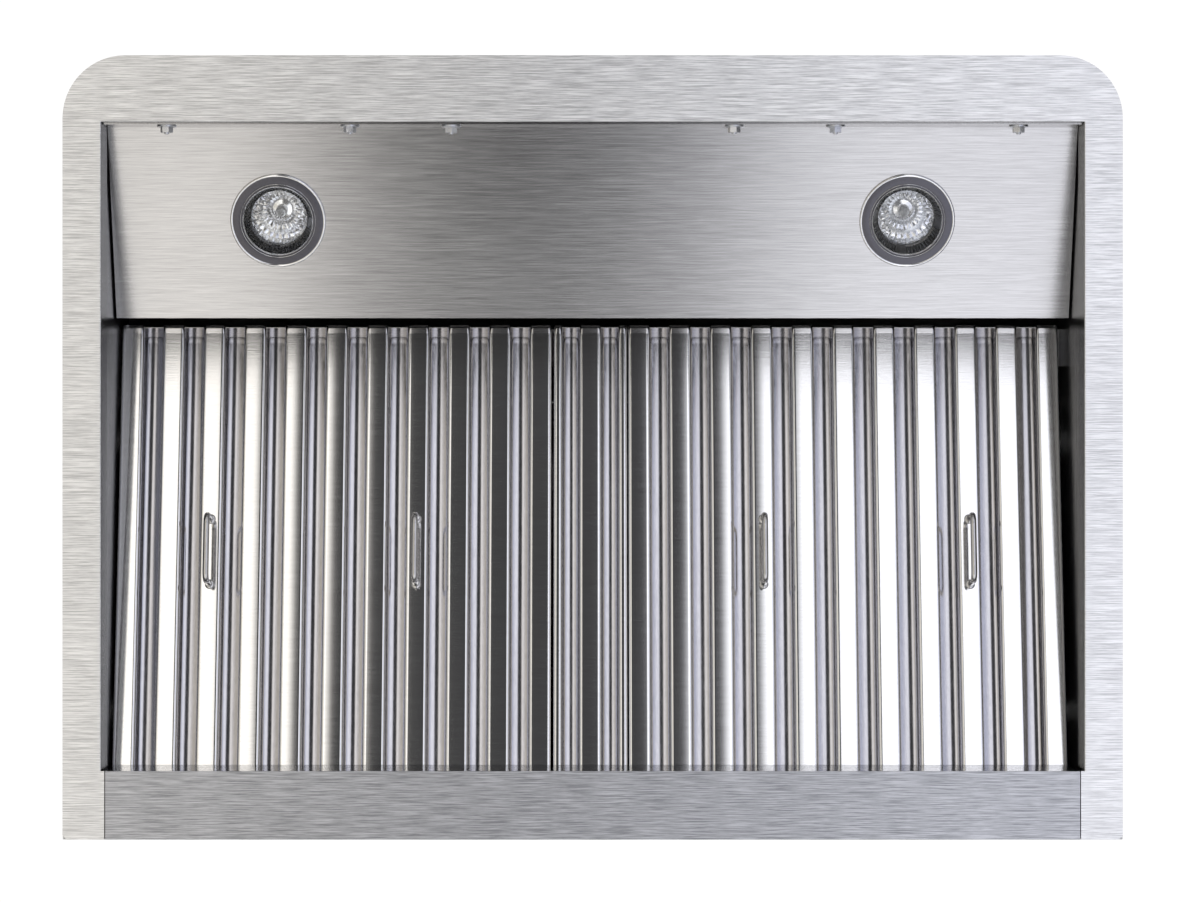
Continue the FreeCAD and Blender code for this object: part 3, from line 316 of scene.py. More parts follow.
def row_tree():
    """Draws a flat section out along a direction, then repeats it by steps and turns."""
    tree = Tree("drawn_row", Direction="Vector", Length="Float", Count="Int", Step="Vector", Turn="Vector")
    drawn = tree.node("GeometryNodeExtrudeMesh", {
        "Mesh": tree.inputs["Geometry"], "Offset": tree.inputs["Direction"],
        "Offset Scale": tree.inputs["Length"], "Individual": False})
    back = tree.node("GeometryNodeFlipFaces", {0: tree.inputs["Geometry"]})
    joined = tree.node("GeometryNodeJoinGeometry", {0: drawn.outputs[0]})
    tree.group.links.new(back.outputs[0], joined.inputs[0])
    closed = tree.node("GeometryNodeMergeByDistance", {
        "Geometry": joined.outputs[0], "Distance": SAME_POINT})
    return tree.end(repeated(tree, closed.outputs[0]))


def repeated(tree, shape):
    """The shape set at every step, each turned a step more than the last."""
    spots = tree.node("GeometryNodeMeshLine", {"Count": tree.inputs["Count"], "Offset": tree.inputs["Step"]})
    index = tree.node("GeometryNodeInputIndex")
    turn = tree.node("ShaderNodeVectorMath", {0: tree.inputs["Turn"], "Scale": index.outputs[0]},
                     operation="SCALE")
    return tree.node("GeometryNodeInstanceOnPoints", {
        "Points": spots.outputs[0], "Instance": shape, "Rotation": turn.outputs[0]}).outputs[0]


def ring_tree():
    """Repeats a finished shape by steps and turns."""
    tree = Tree("repeated_part", Count="Int", Step="Vector", Turn="Vector")
    return tree.end(repeated(tree, tree.inputs["Geometry"]))


def fastener_tree():
    """Sets a shape on points, its top along each point's facing and its drive turned at random."""
    tree = Tree("set_fasteners", Shape="Object", Seed="Int")
    facing = tree.node("GeometryNodeInputNamedAttribute", {"Name": "facing"}, data_type="FLOAT_VECTOR")
    aim = tree.node("FunctionNodeAlignRotationToVector", {"Vector": facing.outputs[0]}, axis="Z")
    chance = tree.node("FunctionNodeRandomValue", {2: 0.0, 3: math.tau, "Seed": tree.inputs["Seed"]},
                       data_type="FLOAT")
    drive = tree.node("ShaderNodeCombineXYZ", {2: chance.outputs[1]})
    spun = tree.node("FunctionNodeRotateRotation", {0: aim.outputs[0], 1: drive.outputs[0]},
                     rotation_space="LOCAL")
    shape = tree.node("GeometryNodeObjectInfo", {"Object": tree.inputs["Shape"]})
    placed = tree.node("GeometryNodeInstanceOnPoints", {
        "Points": tree.inputs["Geometry"], "Instance": shape.outputs["Geometry"],
        "Rotation": spun.outputs[0]})
    return tree.end(placed.outputs[0])


def wire_tree():
    """Bends a round wire along straight runs."""
    tree = Tree("bent_wire", Bend="Float", Wire="Float")
    runs = tree.node("GeometryNodeMeshToCurve", {0: tree.inputs["Geometry"]})
    bent = tree.node("GeometryNodeFilletCurve", {
        "Curve": runs.outputs[0], "Count": 8, "Radius": tree.inputs["Bend"], "Limit Radius": True},
        mode="POLY")
    round_ = tree.node("GeometryNodeCurvePrimitiveCircle", {"Resolution": 16, "Radius": tree.inputs["Wire"]})
    tube = tree.node("GeometryNodeCurveToMesh", {
        "Curve": bent.outputs[0], "Profile Curve": round_.outputs[0], "Fill Caps": True})
    return tree.end(tube.outputs[0])


ROW = row_tree()
REPEAT = ring_tree()
FASTEN = fastener_tree()
BEND = wire_tree()


def held(mesh):
    """An object that holds a mesh while it is worked on."""
    made = bpy.data.objects.new("holder", mesh)
    bpy.context.scene.collection.objects.link(made)
    return made


def baked(holder):
    """The plain mesh that an object's modifiers make; the object itself goes."""
    graph = bpy.context.evaluated_depsgraph_get()
    made = bpy.data.meshes.new_from_object(holder.evaluated_get(graph), depsgraph=graph)
    bpy.data.objects.remove(holder)
    return made


def grown(mesh, group, **values):
    """The plain mesh that a tree makes from a mesh."""
    holder = held(mesh)
    modifier = holder.modifiers.new("grow", "NODES")
    modifier.node_group = group
    for socket in group.interface.items_tree:
        if socket.in_out == "INPUT" and socket.name in values:
            modifier[socket.identifier] = values[socket.name]
    return baked(holder)


# ---- shapes in mesh code ----
def mesh_of(points, faces, edges=()):
    made = bpy.data.meshes.new("shape")
    made.from_pydata([Vector(p) for p in points], list(edges), list(faces))
    made.update()
    return made


def lathe(profile, steps=72, ripple=None):
    """Turns a closed (radius, height) outline about Z; ripple may change a point's radius and height."""
    points, rings = [], []
    for place, (radius, height) in enumerate(profile):
        if radius <= 0:
            rings.append([len(points)] * steps)
            points.append((0, 0, height))
            continue
        rings.append(range(len(points), len(points) + steps))
        for step in range(steps):
            angle = math.tau * step / steps
            r, z = ripple(place, step, radius, height) if ripple else (radius, height)
            points.append((r * math.cos(angle), r * math.sin(angle), z))
    faces = []
    for place, ring in enumerate(rings):
        after = rings[(place + 1) % len(rings)]
        for step in range(steps):
            far = (step + 1) % steps
            corners = []
            for corner in (ring[step], ring[far], after[far], after[step]):
                if corner not in corners:
                    corners.append(corner)
            if len(corners) > 2:
                faces.append(corners)
    return outward(mesh_of(points, faces))


def turned(profile, steps=72, ripple=None):
    """Turns an outline given in millimetres."""
    return lathe([(r * MM, z * MM) for r, z in profile], steps, ripple)


def edit(mesh, change):
    work = bmesh.new()
    work.from_mesh(mesh)
    change(work)
    work.to_mesh(mesh)
    work.free()
    mesh.update()
    return mesh


def outward(mesh):
    """Joins points that coincide and turns every face outward."""
    def change(work):
        bmesh.ops.remove_doubles(work, verts=work.verts, dist=SAME_POINT)
        bmesh.ops.recalc_face_normals(work, faces=work.faces)
    return edit(mesh, change)


def eased(mesh, width):
    """Rounds every sharp edge."""
    def change(work):
        limit = math.radians(30)
        sharp = [edge for edge in work.edges if edge.is_manifold and edge.calc_face_angle(0) > limit]
        bmesh.ops.bevel(work, geom=sharp, offset=width, segments=2, profile=0.5, affect="EDGES",
                        clamp_overlap=True)
    return edit(mesh, change) if width > 0 else mesh


def block(low, high, ease=0.0):
    """A block between two corners with eased edges."""
    x, y, z = zip(low, high)
    points = [(x[i], y[j], z[k]) for i in (0, 1) for j in (0, 1) for k in (0, 1)]
    faces = [(0, 1, 3, 2), (4, 6, 7, 5), (0, 4, 5, 1), (2, 3, 7, 6), (0, 2, 6, 4), (1, 5, 7, 3)]
    return eased(outward(mesh_of(points, faces)), ease)


def merged(*meshes):
    """Several meshes as one."""
    work = bmesh.new()
    for mesh in meshes:
        work.from_mesh(mesh)
    made = bpy.data.meshes.new("shape")
    work.to_mesh(made)
    work.free()
    return made


def placed(mesh, matrix):
    made = mesh.copy()
    made.transform(matrix)
    return made


def carved(mesh, tool):
    """The mesh less a tool."""
    holder, cutter = held(mesh), held(tool)
    modifier = holder.modifiers.new("carve", "BOOLEAN")
    modifier.operation = "DIFFERENCE"
    modifier.solver = "EXACT"
    modifier.object = cutter
    made = baked(holder)
    bpy.data.objects.remove(cutter)
    return made


def cad_copy(node, ease):
    """A CAD node's shape with merged points, whole faces and eased edges."""
    made = frame["nodes"][node].data.copy()

    def change(work):
        bmesh.ops.remove_doubles(work, verts=work.verts, dist=1e-6)
        bmesh.ops.dissolve_limit(work, angle_limit=math.radians(0.6), verts=work.verts, edges=work.edges)
    edit(made, change)
    return eased(made, ease)


def flat_true(mesh):
    """Keeps wide flats truly flat next to their rounded edges."""
    holder = held(mesh)
    modifier = holder.modifiers.new("flats", "WEIGHTED_NORMAL")
    modifier.keep_sharp = True
    modifier.weight = 100
    return baked(holder)


def piece(name, mesh, finish, node, hides=True, crease=32):
    """A finished piece that rides on a CAD node's body, and stands for that node when it hides it."""
    mesh.materials.clear()
    mesh.materials.append(finish)
    mesh.polygons.foreach_set("material_index", [0] * len(mesh.polygons))
    mesh.polygons.foreach_set("use_smooth", [True] * len(mesh.polygons))
    mesh.set_sharp_from_angle(angle=math.radians(crease))
    made = bpy.data.objects.new(name, flat_true(mesh))
    bpy.context.scene.collection.objects.link(made)
    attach(made, frame["nodes"][node]["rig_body"])
    if hides:
        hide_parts(node)
    return made


def dressed(node, finish, ease=0.0, crease=32, extra=()):
    """A CAD node's shape refined into a piece of its own."""
    mesh = cad_copy(node, ease)
    if extra:
        mesh = merged(mesh, *extra)
    return piece(node + "_piece", mesh, finish, node, crease=crease)


# ---- fasteners ----
def hex_head(flats, height, chamfer=0.9, flange=0.0, bore=0.0, steps=48):
    """A hexagon with chamfered corners, an optional flange and bore, standing on Z = 0."""
    corner = flats / math.sqrt(3)
    rows = []
    if flange:
        rows += [(flange * 0.97, 0), (flange, 0.12 * height), (flange * 0.98, 0.2 * height)]
    rows += [(corner, 0.30 * height if flange else 0), (corner, 0.86 * height), (corner * chamfer, height)]
    rows += [(bore + 0.35 * MM, height), (bore, 0.95 * height), (bore, 0)] if bore else [(0, height), (0, 0)]

    def hexagon(place, step, radius, z):
        angle = (math.tau * step / steps) % (math.tau / 6) - math.tau / 12
        if flats * 0.4 < radius <= corner * 1.001:
            radius = min(radius, flats / 2 / math.cos(angle))
        return radius, z

    return lathe(rows, steps, hexagon)


def pan_screw(radius, height, drive=0.62):
    """A pan head with a cross recess, standing on Z = 0."""
    dome = [(0, 0), (radius * 0.94, 0), (radius, height * 0.12), (radius * 0.97, height * 0.4),
            (radius * 0.82, height * 0.72), (radius * 0.58, height * 0.92), (radius * 0.3, height),
            (0, height)]
    head = lathe(dome, 32)
    half, long = radius * 0.11, radius * drive
    for x, y in ((half, long), (long, half)):
        head = carved(head, block((-x, -y, height * 0.35), (x, y, height * 2)))
    return head


def dome_rivet(radius, height, steps=20):
    rows = [(0, 0), (radius, 0), (radius * 0.96, height * 0.45), (radius * 0.75, height * 0.82),
            (radius * 0.4, height * 0.98), (0, height)]
    return lathe(rows, steps)


def fasteners(shape, spots, seed=3):
    """A mesh of one shape set at (place, facing) spots."""
    holder = held(shape)
    places = mesh_of([spot for spot, facing in spots], [])
    facing = places.attributes.new("facing", "FLOAT_VECTOR", "POINT")
    facing.data.foreach_set("vector", [float(value) for spot, way in spots for value in way])
    made = grown(places, FASTEN, Shape=holder, Seed=seed)
    bpy.data.objects.remove(holder)
    return made


DOWN, UP, BACK = (0, 0, -1), (0, 0, 1), (0, 1, 0)


def filter_place(x):
    """A filter's own frame: origin on its pivot, -Y up the slope, the baffles' faces on Z = 0."""
    spot = Matrix.Translation((x, RAIL_Y, RAIL_TOP))
    return spot @ Matrix.Rotation(-FILTER_SLOPE, 4, "X") @ Matrix.Translation((0, 0, FILTER_LIFT))


def lamp_place(side):
    """A lamp's own frame: origin on the light panel's underside, +Z into the hood."""
    back = 66 * MM
    rise = 29 * MM + back * math.tan(PANEL_SLOPE)
    return Matrix.Translation((LAMP_SPREAD * side, LIP_Y + 1 * MM + back, rise)) @ Matrix.Rotation(
        PANEL_SLOPE, 4, "X")


def across(axis):
    """Turns a shape that stands on Z so that it stands along another axis."""
    return Vector(axis).to_track_quat("Z", "Y").to_matrix().to_4x4()


# ---- canopy sheets ----
def make_sheets():
    for node, finish, ease in (
            ("rim_frame", RIM, 0.30), ("rear_rail", STRIP, 0.30), ("front_band", BAND, 0.40),
            ("front_panel", SLOPE, 0.30), ("side_panel_left", BAND, 0.30), ("side_panel_right", BAND, 0.30),
            ("top_panel", OUTER, 0.30), ("back_panel", BAND, 0.25), ("side_liner_left", LINER, 0.25),
            ("side_liner_right", LINER, 0.25), ("light_panel", LAMP_SHEET, 0.25),
            ("catch_rail", END_PLATE, 0.2)):
        dressed(node, finish, ease * MM)


def make_canopy_fixings():
    """Spot welds down the canopy's edges and the screws that hold its sheets together."""
    low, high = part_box("front_panel")
    slope = Vector((0, high.y - low.y, high.z - low.z))
    slope.normalize()
    inward = Vector((0, slope.z, -slope.y))
    first, gap, edge = 0.03, 0.052, 9 * MM
    first_high, gap_high, edge_high = 0.11, 0.053, 12 * MM
    welds = []
    for side in (-1, 1):
        corner = Vector((CANOPY_X * side, low.y, low.z))
        for step in range(8):
            welds.append((corner + slope * (first + gap * step) + inward * edge, (side, 0, 0)))
        for step in range(7):
            spot = (CANOPY_X * side, WALL_Y - edge_high, first_high + gap_high * step)
            welds.append((spot, (side, 0, 0)))
    piece("canopy_spot_welds", fasteners(dome_rivet(2.6 * MM, 0.35 * MM, 16), welds), OUTER,
          "side_panel_left", hides=False)
    top_front, top_side = -0.026, 0.355
    screws = [((x, top_front, TOP_Z), UP) for x in (-0.35, -0.21, -0.15, 0.15, 0.21, 0.35)]
    for side in (-1, 1):
        screws += [((top_side * side, y, TOP_Z), UP) for y in (0.045, 0.115, 0.185, 0.262)]
    ledge, ledge_front, ledge_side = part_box("front_band")[1].z, -0.2738, 0.3724
    screws += [((x, ledge_front, ledge), UP) for x in (-0.28, -0.14, 0.0, 0.14, 0.28)]
    screws += [((ledge_side * side, y, ledge), UP) for side in (-1, 1) for y in (-0.16, -0.02, 0.12, 0.24)]
    piece("canopy_screws", fasteners(pan_screw(3.1 * MM, 1.7 * MM), screws, 5), ZINC, "top_panel",
          hides=False)


# ---- lamps ----
def make_lamp(name, side):
    """Trim ring, ribbed recess, cover glass and a faceted reflector with its capsule."""
    place = lamp_place(side)

    def set_in(part, profile, finish, nodes, steps=96, ripple=None, crease=32, **keys):
        mesh = turned(profile, steps, ripple)
        return piece(f"{part}_{name}", placed(mesh, place), finish, *nodes, crease=crease, **keys)

    trim = "lamp_trim_" + name
    bead = [(33.8 + 1.1 * math.cos(a), -0.9 - 1.15 * math.sin(a)) for a in
            [math.tau * k / 20 for k in range(20)]]
    set_in("trim_bead", bead, BEAD, (trim,), crease=60)
    plate = [(33.2, 0), (33.2, -1.4), (31.0, -1.75), (28.0, -1.75), (27.7, -1.6), (27.3, -0.9), (25.4, -0.9),
             (25.4, 0)]
    set_in("trim_plate", plate, TRIM, (trim,), hides=False)
    for part, radius in (("outer_line", 27.4), ("inner_line", 25.65)):
        line = [(radius + 0.45, 0.2), (radius + 0.45, -1.75), (radius, -2.1), (radius - 0.45, -1.75),
                (radius - 0.45, 0.2)]
        set_in(part, line, BEAD, (trim,), hides=False, crease=60)

    def ribs(ring, step, radius, height):
        """Raised and sunk ribs down the recess, with four plain gaps."""
        plain = (step % 32) < 6
        if ring in (1, 2) and not plain:
            return radius + (0.65 * MM if step % 2 else -0.25 * MM), height
        return radius, height

    recess = [(25.2, -0.4), (24.9, 0.4), (21.4, 7.2), (20.6, 8.0), (20.6, 11.8), (29.0, 11.8), (29.0, 0.1),
              (25.3, 0.1)]
    set_in("trim_recess", recess, RECESS, (trim,), 128, ribs, 20, hides=False)

    rows = [(22.3, 14.3), (21.4, 18.0), (19.6, 22.2), (17.2, 25.9), (14.4, 29.1), (11.4, 31.7), (9.4, 33.6),
            (8.0, 34.7)]
    facets = 26

    def dimple(ring, step, radius, height):
        """Staggered ridges, so that the flats run outward in short dashes."""
        if ring < len(rows) and (ring // 2 + step) % 2:
            return radius - 1.0 * MM, height - 0.65 * MM
        return radius, height
    shell = rows + [(7.4, 37.0), (0, 37.0), (0, 49.6), (7.8, 49.6), (7.8, 39.2), (14.4, 34.6), (21.0, 26.0),
                    (24.6, 17.4), (24.7, 14.3)]
    set_in("reflector", shell, MIRROR, ("lamp_bulb_" + name,), facets * 2, dimple, crease=2)
    capsule = [(0, 23.7), (1.6, 23.9), (2.9, 24.6), (4.0, 26.0), (4.4, 28.0), (4.4, 33.0), (3.4, 35.0),
               (0, 35.4)]
    set_in("capsule", capsule, QUARTZ, ("lamp_bulb_" + name,), 40, hides=False, crease=60)
    seat = [(3.6, 34.6), (7.2, 35.2), (7.2, 36.6), (0, 36.6), (0, 35.6), (3.6, 35.6)]
    set_in("capsule_seat", seat, BEAD, ("lamp_bulb_" + name,), 40, hides=False)
    glass = [(0, 12.6), (8, 12.5), (16, 12.4), (23.6, 12.3), (24.6, 12.7), (24.6, 13.5), (23.8, 13.9),
             (0, 13.9)]
    set_in("cover_glass", glass, GLASS, ("lamp_glass_" + name,), 72, crease=40)


def make_lamp_fittings():
    body = [(8.6, 40.7), (13.2, 40.7), (13.9, 41.5), (13.9, 52.0), (13.0, 52.6), (13.0, 60.5), (12.0, 65.2),
            (11.2, 65.9), (0, 65.9), (0, 50.8), (8.6, 50.8)]
    cap = turned(body, 48)
    piece("lamp_socket_pair", merged(*[placed(cap, lamp_place(side)) for side in (-1, 1)]), CERAMIC,
          "lamp_sockets")
    dressed("lamp_clips", ZINC, 0.1 * MM)


# ---- nuts and studs under the front lip ----
def make_lip_fasteners():
    """Flange nuts and threaded studs along the inner face of the front lip."""
    places = [x * side * MM for x in (102.0, 175.0, 307.0) for side in (-1, 1)]
    height = 17 * MM
    nut = hex_head(8 * MM, 5.2 * MM, 0.90, 7 * MM, 2.03 * MM)
    face = LIP_Y + 1 * MM
    nuts = fasteners(nut, [((x, face, height), BACK) for x in places], 8)
    piece("lip_nuts", nuts, ZINC, "flange_nuts")
    thread = [(0, 0), (2.0 * MM, 0)]
    pitch = 0.7 * MM
    for turn in range(9):
        thread += [(2.0 * MM, pitch * (turn + 0.55)), (1.72 * MM, pitch * (turn + 1))]
    thread += [(1.6 * MM, 7.1 * MM), (1.3 * MM, 7.3 * MM), (0, 7.3 * MM)]
    studs = fasteners(lathe(thread, 20), [((x, LIP_Y, height), BACK) for x in places], 9)
    piece("lip_stud_set", studs, ZINC, "lip_studs")


# ---- baffle filters ----
def channel(width, height, corner, crown, steps=6):
    """U section in XZ with rounded corners and its web on Z = 0, as a flat face at Y = 0.

    The web is crowned: level in the middle, and at the crown angle where it meets the corners.
    """
    def run(inset):
        radius, centre = corner - inset, width / 2 - corner
        web = centre + radius * math.sin(crown)
        rise = (centre + corner * math.sin(crown)) * math.tan(crown) / 2
        middle = rise + corner * math.cos(crown)
        edge = middle - radius * math.cos(crown)
        points = [(width / 2 - inset, height)]
        for step in range(steps, -1, -1):
            angle = crown + (math.pi / 2 - crown) * step / steps
            points.append((centre + radius * math.sin(angle), middle - radius * math.cos(angle)))
        for step in range(5, -1, -1):
            share = step / 6
            points.append((web * share, inset + (edge - inset) * share ** 2))
        return [(-x, z) for x, z in points] + points[-2::-1]
    outline = run(0) + run(SHEET)[::-1]
    return mesh_of([(x, 0, z) for x, z in outline], [range(len(outline))])


def drawn(section, length, count, step, first, along=(0, 1, 0), turn=(0, 0, 0)):
    """A section drawn out and repeated."""
    section.transform(Matrix.Translation(first))
    mesh = grown(section, ROW, Direction=along, Length=length, Count=count, Step=step, Turn=turn)
    return outward(mesh)


def flipped(section, height):
    section.transform(Matrix.Translation((0, 0, height)) @ Matrix.Scale(-1, 4, (0, 0, 1)))
    return section


def lower_baffle(width):
    return channel(width, LOWER_TALL, LOWER_CORNER, WEB_CROWN)


def upper_baffle(width):
    return flipped(channel(width, HAT_TALL, HAT_CORNER, HAT_CROWN, steps=8), HAT_TALL)


def make_filter(name, x):
    """A wide filter: two rows of baffles, its end plates and its handles."""
    place = filter_place(x)
    first = -BAFFLE_PITCH * (BAFFLE_COUNT - 1) / 2
    width = BAFFLE_PITCH * (BAFFLE_COUNT - 1) + BAFFLE_WIDE
    length = FILTER_REACH + FILTER_TAIL
    step = (BAFFLE_PITCH, 0, 0)
    lower = drawn(lower_baffle(BAFFLE_WIDE), length, BAFFLE_COUNT, step, (first, -FILTER_REACH, 0))
    piece("lower_baffles_" + name, placed(lower, place), BAFFLE, "filter_lower_baffles_" + name, crease=50)
    start = (first + BAFFLE_PITCH / 2, HAT_START - FILTER_REACH, HAT_LIFT)
    upper = drawn(upper_baffle(HAT_WIDE), length - HAT_SHORT, BAFFLE_COUNT - 1, step, start)
    piece("upper_baffles_" + name, placed(upper, place), HAT, "filter_upper_baffles_" + name, crease=50)
    gripped = (2, 7) if name == "left" else (3, 8)
    make_end_plates(name, "filter_end_caps_" + name, width, place, (-width / 4, width / 4))
    make_handles(name, [first + BAFFLE_PITCH * baffle for baffle in gripped], place)


def make_end_plates(name, node, width, place, pins):
    """Plates across both ends, the return flange and the two catch pins."""
    low, tall = 1.5 * MM, FILTER_TALL - 1.5 * MM
    front = 1 * MM - FILTER_REACH
    half = width / 2
    parts = [
        block((-half, front, low), (half, front + SHEET, low + tall), 0.2 * MM),
        block((-half, front, low + tall - SHEET), (half, front + 10 * MM, low + tall), 0.2 * MM),
        block((-half, FILTER_TAIL - SHEET, low), (half, FILTER_TAIL, low + tall), 0.2 * MM),
    ]
    pin = turned([(0, 0), (3, 0), (3, 3.6), (2.5, 4.2), (2.5, 5.2), (3, 5.8), (2.6, 6.8), (1.6, 7),
                  (0, 7)], 24)
    top = low + tall - SHEET
    holder = merged(*parts, *[placed(pin, Matrix.Translation((x, 6 * MM - FILTER_REACH, top))) for x in pins])
    piece("end_plates_" + name, placed(holder, place), END_PLATE, node)


def make_handles(name, spots, place):
    """U handles of round wire with a weld bead round each foot."""
    half, reach = (53 / 2 - 2.25) * MM, 27 * MM
    middle = -157 * MM
    points, edges = [], []
    for x in spots:
        base = len(points)
        points += [(x, middle - half, 0), (x, middle - half, -reach), (x, middle + half, -reach),
                   (x, middle + half, 0)]
        edges += [(base + k, base + k + 1) for k in range(3)]
    wires = grown(mesh_of(points, [], edges), BEND, Bend=7 * MM, Wire=2.25 * MM)
    piece("handles_" + name, placed(outward(wires), place), WIRE, "filter_handles_" + name, crease=60)
    bead = lathe([(0, 0), (3.6 * MM, 0), (3.5 * MM, 0.35 * MM), (3.0 * MM, 0.9 * MM), (2.35 * MM, 1.3 * MM),
                  (0, 1.3 * MM)], 24)
    feet = [((x, middle + half * side, 0), DOWN) for x in spots for side in (-1, 1)]
    beads = placed(fasteners(bead, feet, 12), place)
    piece("handle_welds_" + name, beads, WIRE, "filter_handles_" + name, hides=False, crease=60)


def make_spacer():
    """The narrow middle filter: a full baffle between two thin ones, and two upper baffles."""
    place = filter_place(SPACER_X)
    edge = 6.5 * MM
    edge_x = (SPACER_WIDE - edge) / 2
    length = FILTER_REACH + FILTER_TAIL
    full = drawn(lower_baffle(BAFFLE_WIDE), length, 1, (0, 0, 0), (0, -FILTER_REACH, 0))
    thin = drawn(lower_baffle(edge), length, 2, (edge_x * 2, 0, 0), (-edge_x, -FILTER_REACH, 0))
    lower = placed(merged(full, thin), place)
    piece("lower_baffles_spacer", lower, BAFFLE, "spacer_lower_baffles", crease=50)
    gap_x = (SPACER_WIDE / 2 - edge + BAFFLE_WIDE / 2) / 2
    start = (-gap_x, HAT_START - FILTER_REACH, HAT_LIFT)
    upper = drawn(upper_baffle(17.6 * MM), length - HAT_SHORT, 2, (gap_x * 2, 0, 0), start)
    piece("upper_baffles_spacer", placed(upper, place), HAT, "spacer_upper_baffles", crease=50)
    make_end_plates("spacer", "spacer_end_caps", SPACER_WIDE, place, (0,))


# ---- blower ----
def make_wheel():
    """Centre disc with its hub, forty forward-curved blades and two end rings."""
    place = Matrix.Translation(BLOWER) @ across((1, 0, 0))
    outer, inner, half = 88 * MM, 73 * MM, 62 * MM
    count, thick, steps = 40, 0.9 * MM, 7
    face = []
    for side in (0, 1):
        arc = []
        for step in range(steps + 1):
            share = step / steps
            radius = inner + 0.4 * MM + (outer - inner - 0.8 * MM) * share
            angle = 0.09 * share ** 2 - 0.03 * math.sin(math.pi * share)
            point = Vector((radius * math.cos(angle), radius * math.sin(angle) + thick * side, -half))
            arc.append(point)
        face += arc if side == 0 else arc[::-1]
    turn = (0, 0, math.tau / count)
    blades = drawn(mesh_of(face, [range(len(face))]), half * 2, count, (0, 0, 0), (0, 0, 0), (0, 0, 1), turn)
    parts = [blades]
    for z in (-half, half - 1.5 * MM):
        ring = [(inner, z), (inner, z + 1.5 * MM), (outer - 0.5 * MM, z + 1.5 * MM), (outer, z + 1.0 * MM),
                (outer, z + 0.5 * MM), (outer - 0.5 * MM, z)]
        parts.append(lathe(ring, 120))
    disc = [(4.02, -0.8), (40, -0.8), (44, -0.8), (87.6, -0.8), (87.6, 0.8), (44, 0.8), (40, 0.8), (14, 0.8),
            (12, 2.0), (12, 29.0), (11.3, 29.8), (4.02, 29.8)]
    parts.append(turned(disc, 120))
    piece("blower_wheel", placed(merged(*parts), place), ZINC_SHEET, "fan_wheel")
    rod = [(0, -26), (3.4, -26), (4, -25.4), (4, 33.4), (3.4, 34), (0, 34)]
    shaft = turned(rod, 40)
    piece("wheel_shaft", placed(shaft, place), SHAFT, "fan_shaft")


def make_blower_case():
    """Riveted scroll housing with a rolled ring round each inlet."""
    for node in ("scroll_wrap", "scroll_side_left", "scroll_side_right", "motor_bracket"):
        dressed(node, ZINC_SHEET, 0.15 * MM, crease=25)
    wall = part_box("scroll_side_right")[1].x
    rivets, reach = [], 111 * MM
    for side in (-1, 1):
        for degrees in range(-150, 20, 17):
            angle = math.radians(degrees)
            spot = BLOWER + Vector((0, math.cos(angle) * reach * 0.96, math.sin(angle) * reach))
            rivets.append(((wall * side, spot.y, spot.z), (side, 0, 0)))
    piece("scroll_rivets", fasteners(dome_rivet(2.4 * MM, 1.2 * MM), rivets), ZINC, "scroll_side_left",
          hides=False)
    throat = 69.8
    bell = [(throat - 0.8, -6), (throat - 0.2, -6), (throat, -5.4), (throat, -0.2), (throat + 0.6, 0),
            (throat + 9.2, 0), (throat + 9.2, 0.7), (throat + 8.9, 1), (throat + 1.2, 1), (throat - 0.2, 0.5),
            (throat - 0.8, -0.8)]
    for name, side in (("left", -1), ("right", 1)):
        ring = turned(bell, 120)
        spot = Matrix.Translation((wall * side, BLOWER.y, BLOWER.z)) @ across((side, 0, 0))
        piece("inlet_bell_" + name, placed(ring, spot), ZINC_SHEET, "inlet_ring_" + name, crease=50)


def make_motor():
    """Drawn motor can with end bells, cooling slots and a boss round the shaft."""
    place = Matrix.Translation(BLOWER) @ across((1, 0, 0))
    can = [(4.05, -28), (4.05, -3), (11.6, -3), (12, -3.4), (12, -6), (33, -6), (36.5, -7.2), (38, -10),
           (38, -20), (37.5, -20.4), (37.5, -22), (38, -22.4), (38, -67), (37.5, -67.4), (37.5, -69),
           (38, -69.4), (38, -80), (36.5, -82.6), (33, -84), (0, -84), (0, -28)]
    body = turned(can, 96)
    slots = []
    for step in range(12):
        turn = Matrix.Rotation(math.tau * step / 12, 4, "Z")
        slots.append(placed(block((20 * MM, -1.6 * MM, -10 * MM), (31 * MM, 1.6 * MM, -4 * MM)), turn))
    body = carved(body, merged(*slots))
    piece("motor_can", placed(body, place), PAINT, "motor_body")
    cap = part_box("run_capacitor")
    centre = (cap[0] + cap[1]) / 2
    can = [(0, 0), (14.6, 0), (15.6, 0.5), (16, 1.5), (16, 43.0), (15.2, 43.6), (15.2, 44.6), (15.9, 45.2),
           (15.9, 46.2), (15.0, 46.8), (13.6, 46.8), (13.2, 45.4), (0, 45.4)]
    body = turned(can, 64)
    blades = [block(((x - 0.4) * MM, -3.1 * MM, 45.2 * MM), ((x + 0.4) * MM, 3.1 * MM, 48 * MM), 0.1 * MM)
              for x in (-5, 5)]
    spot = Matrix.Translation((cap[1].x, centre.y, centre.z)) @ across((-1, 0, 0))
    piece("capacitor_can", placed(merged(body, *blades), spot), BLACK, "run_capacitor")


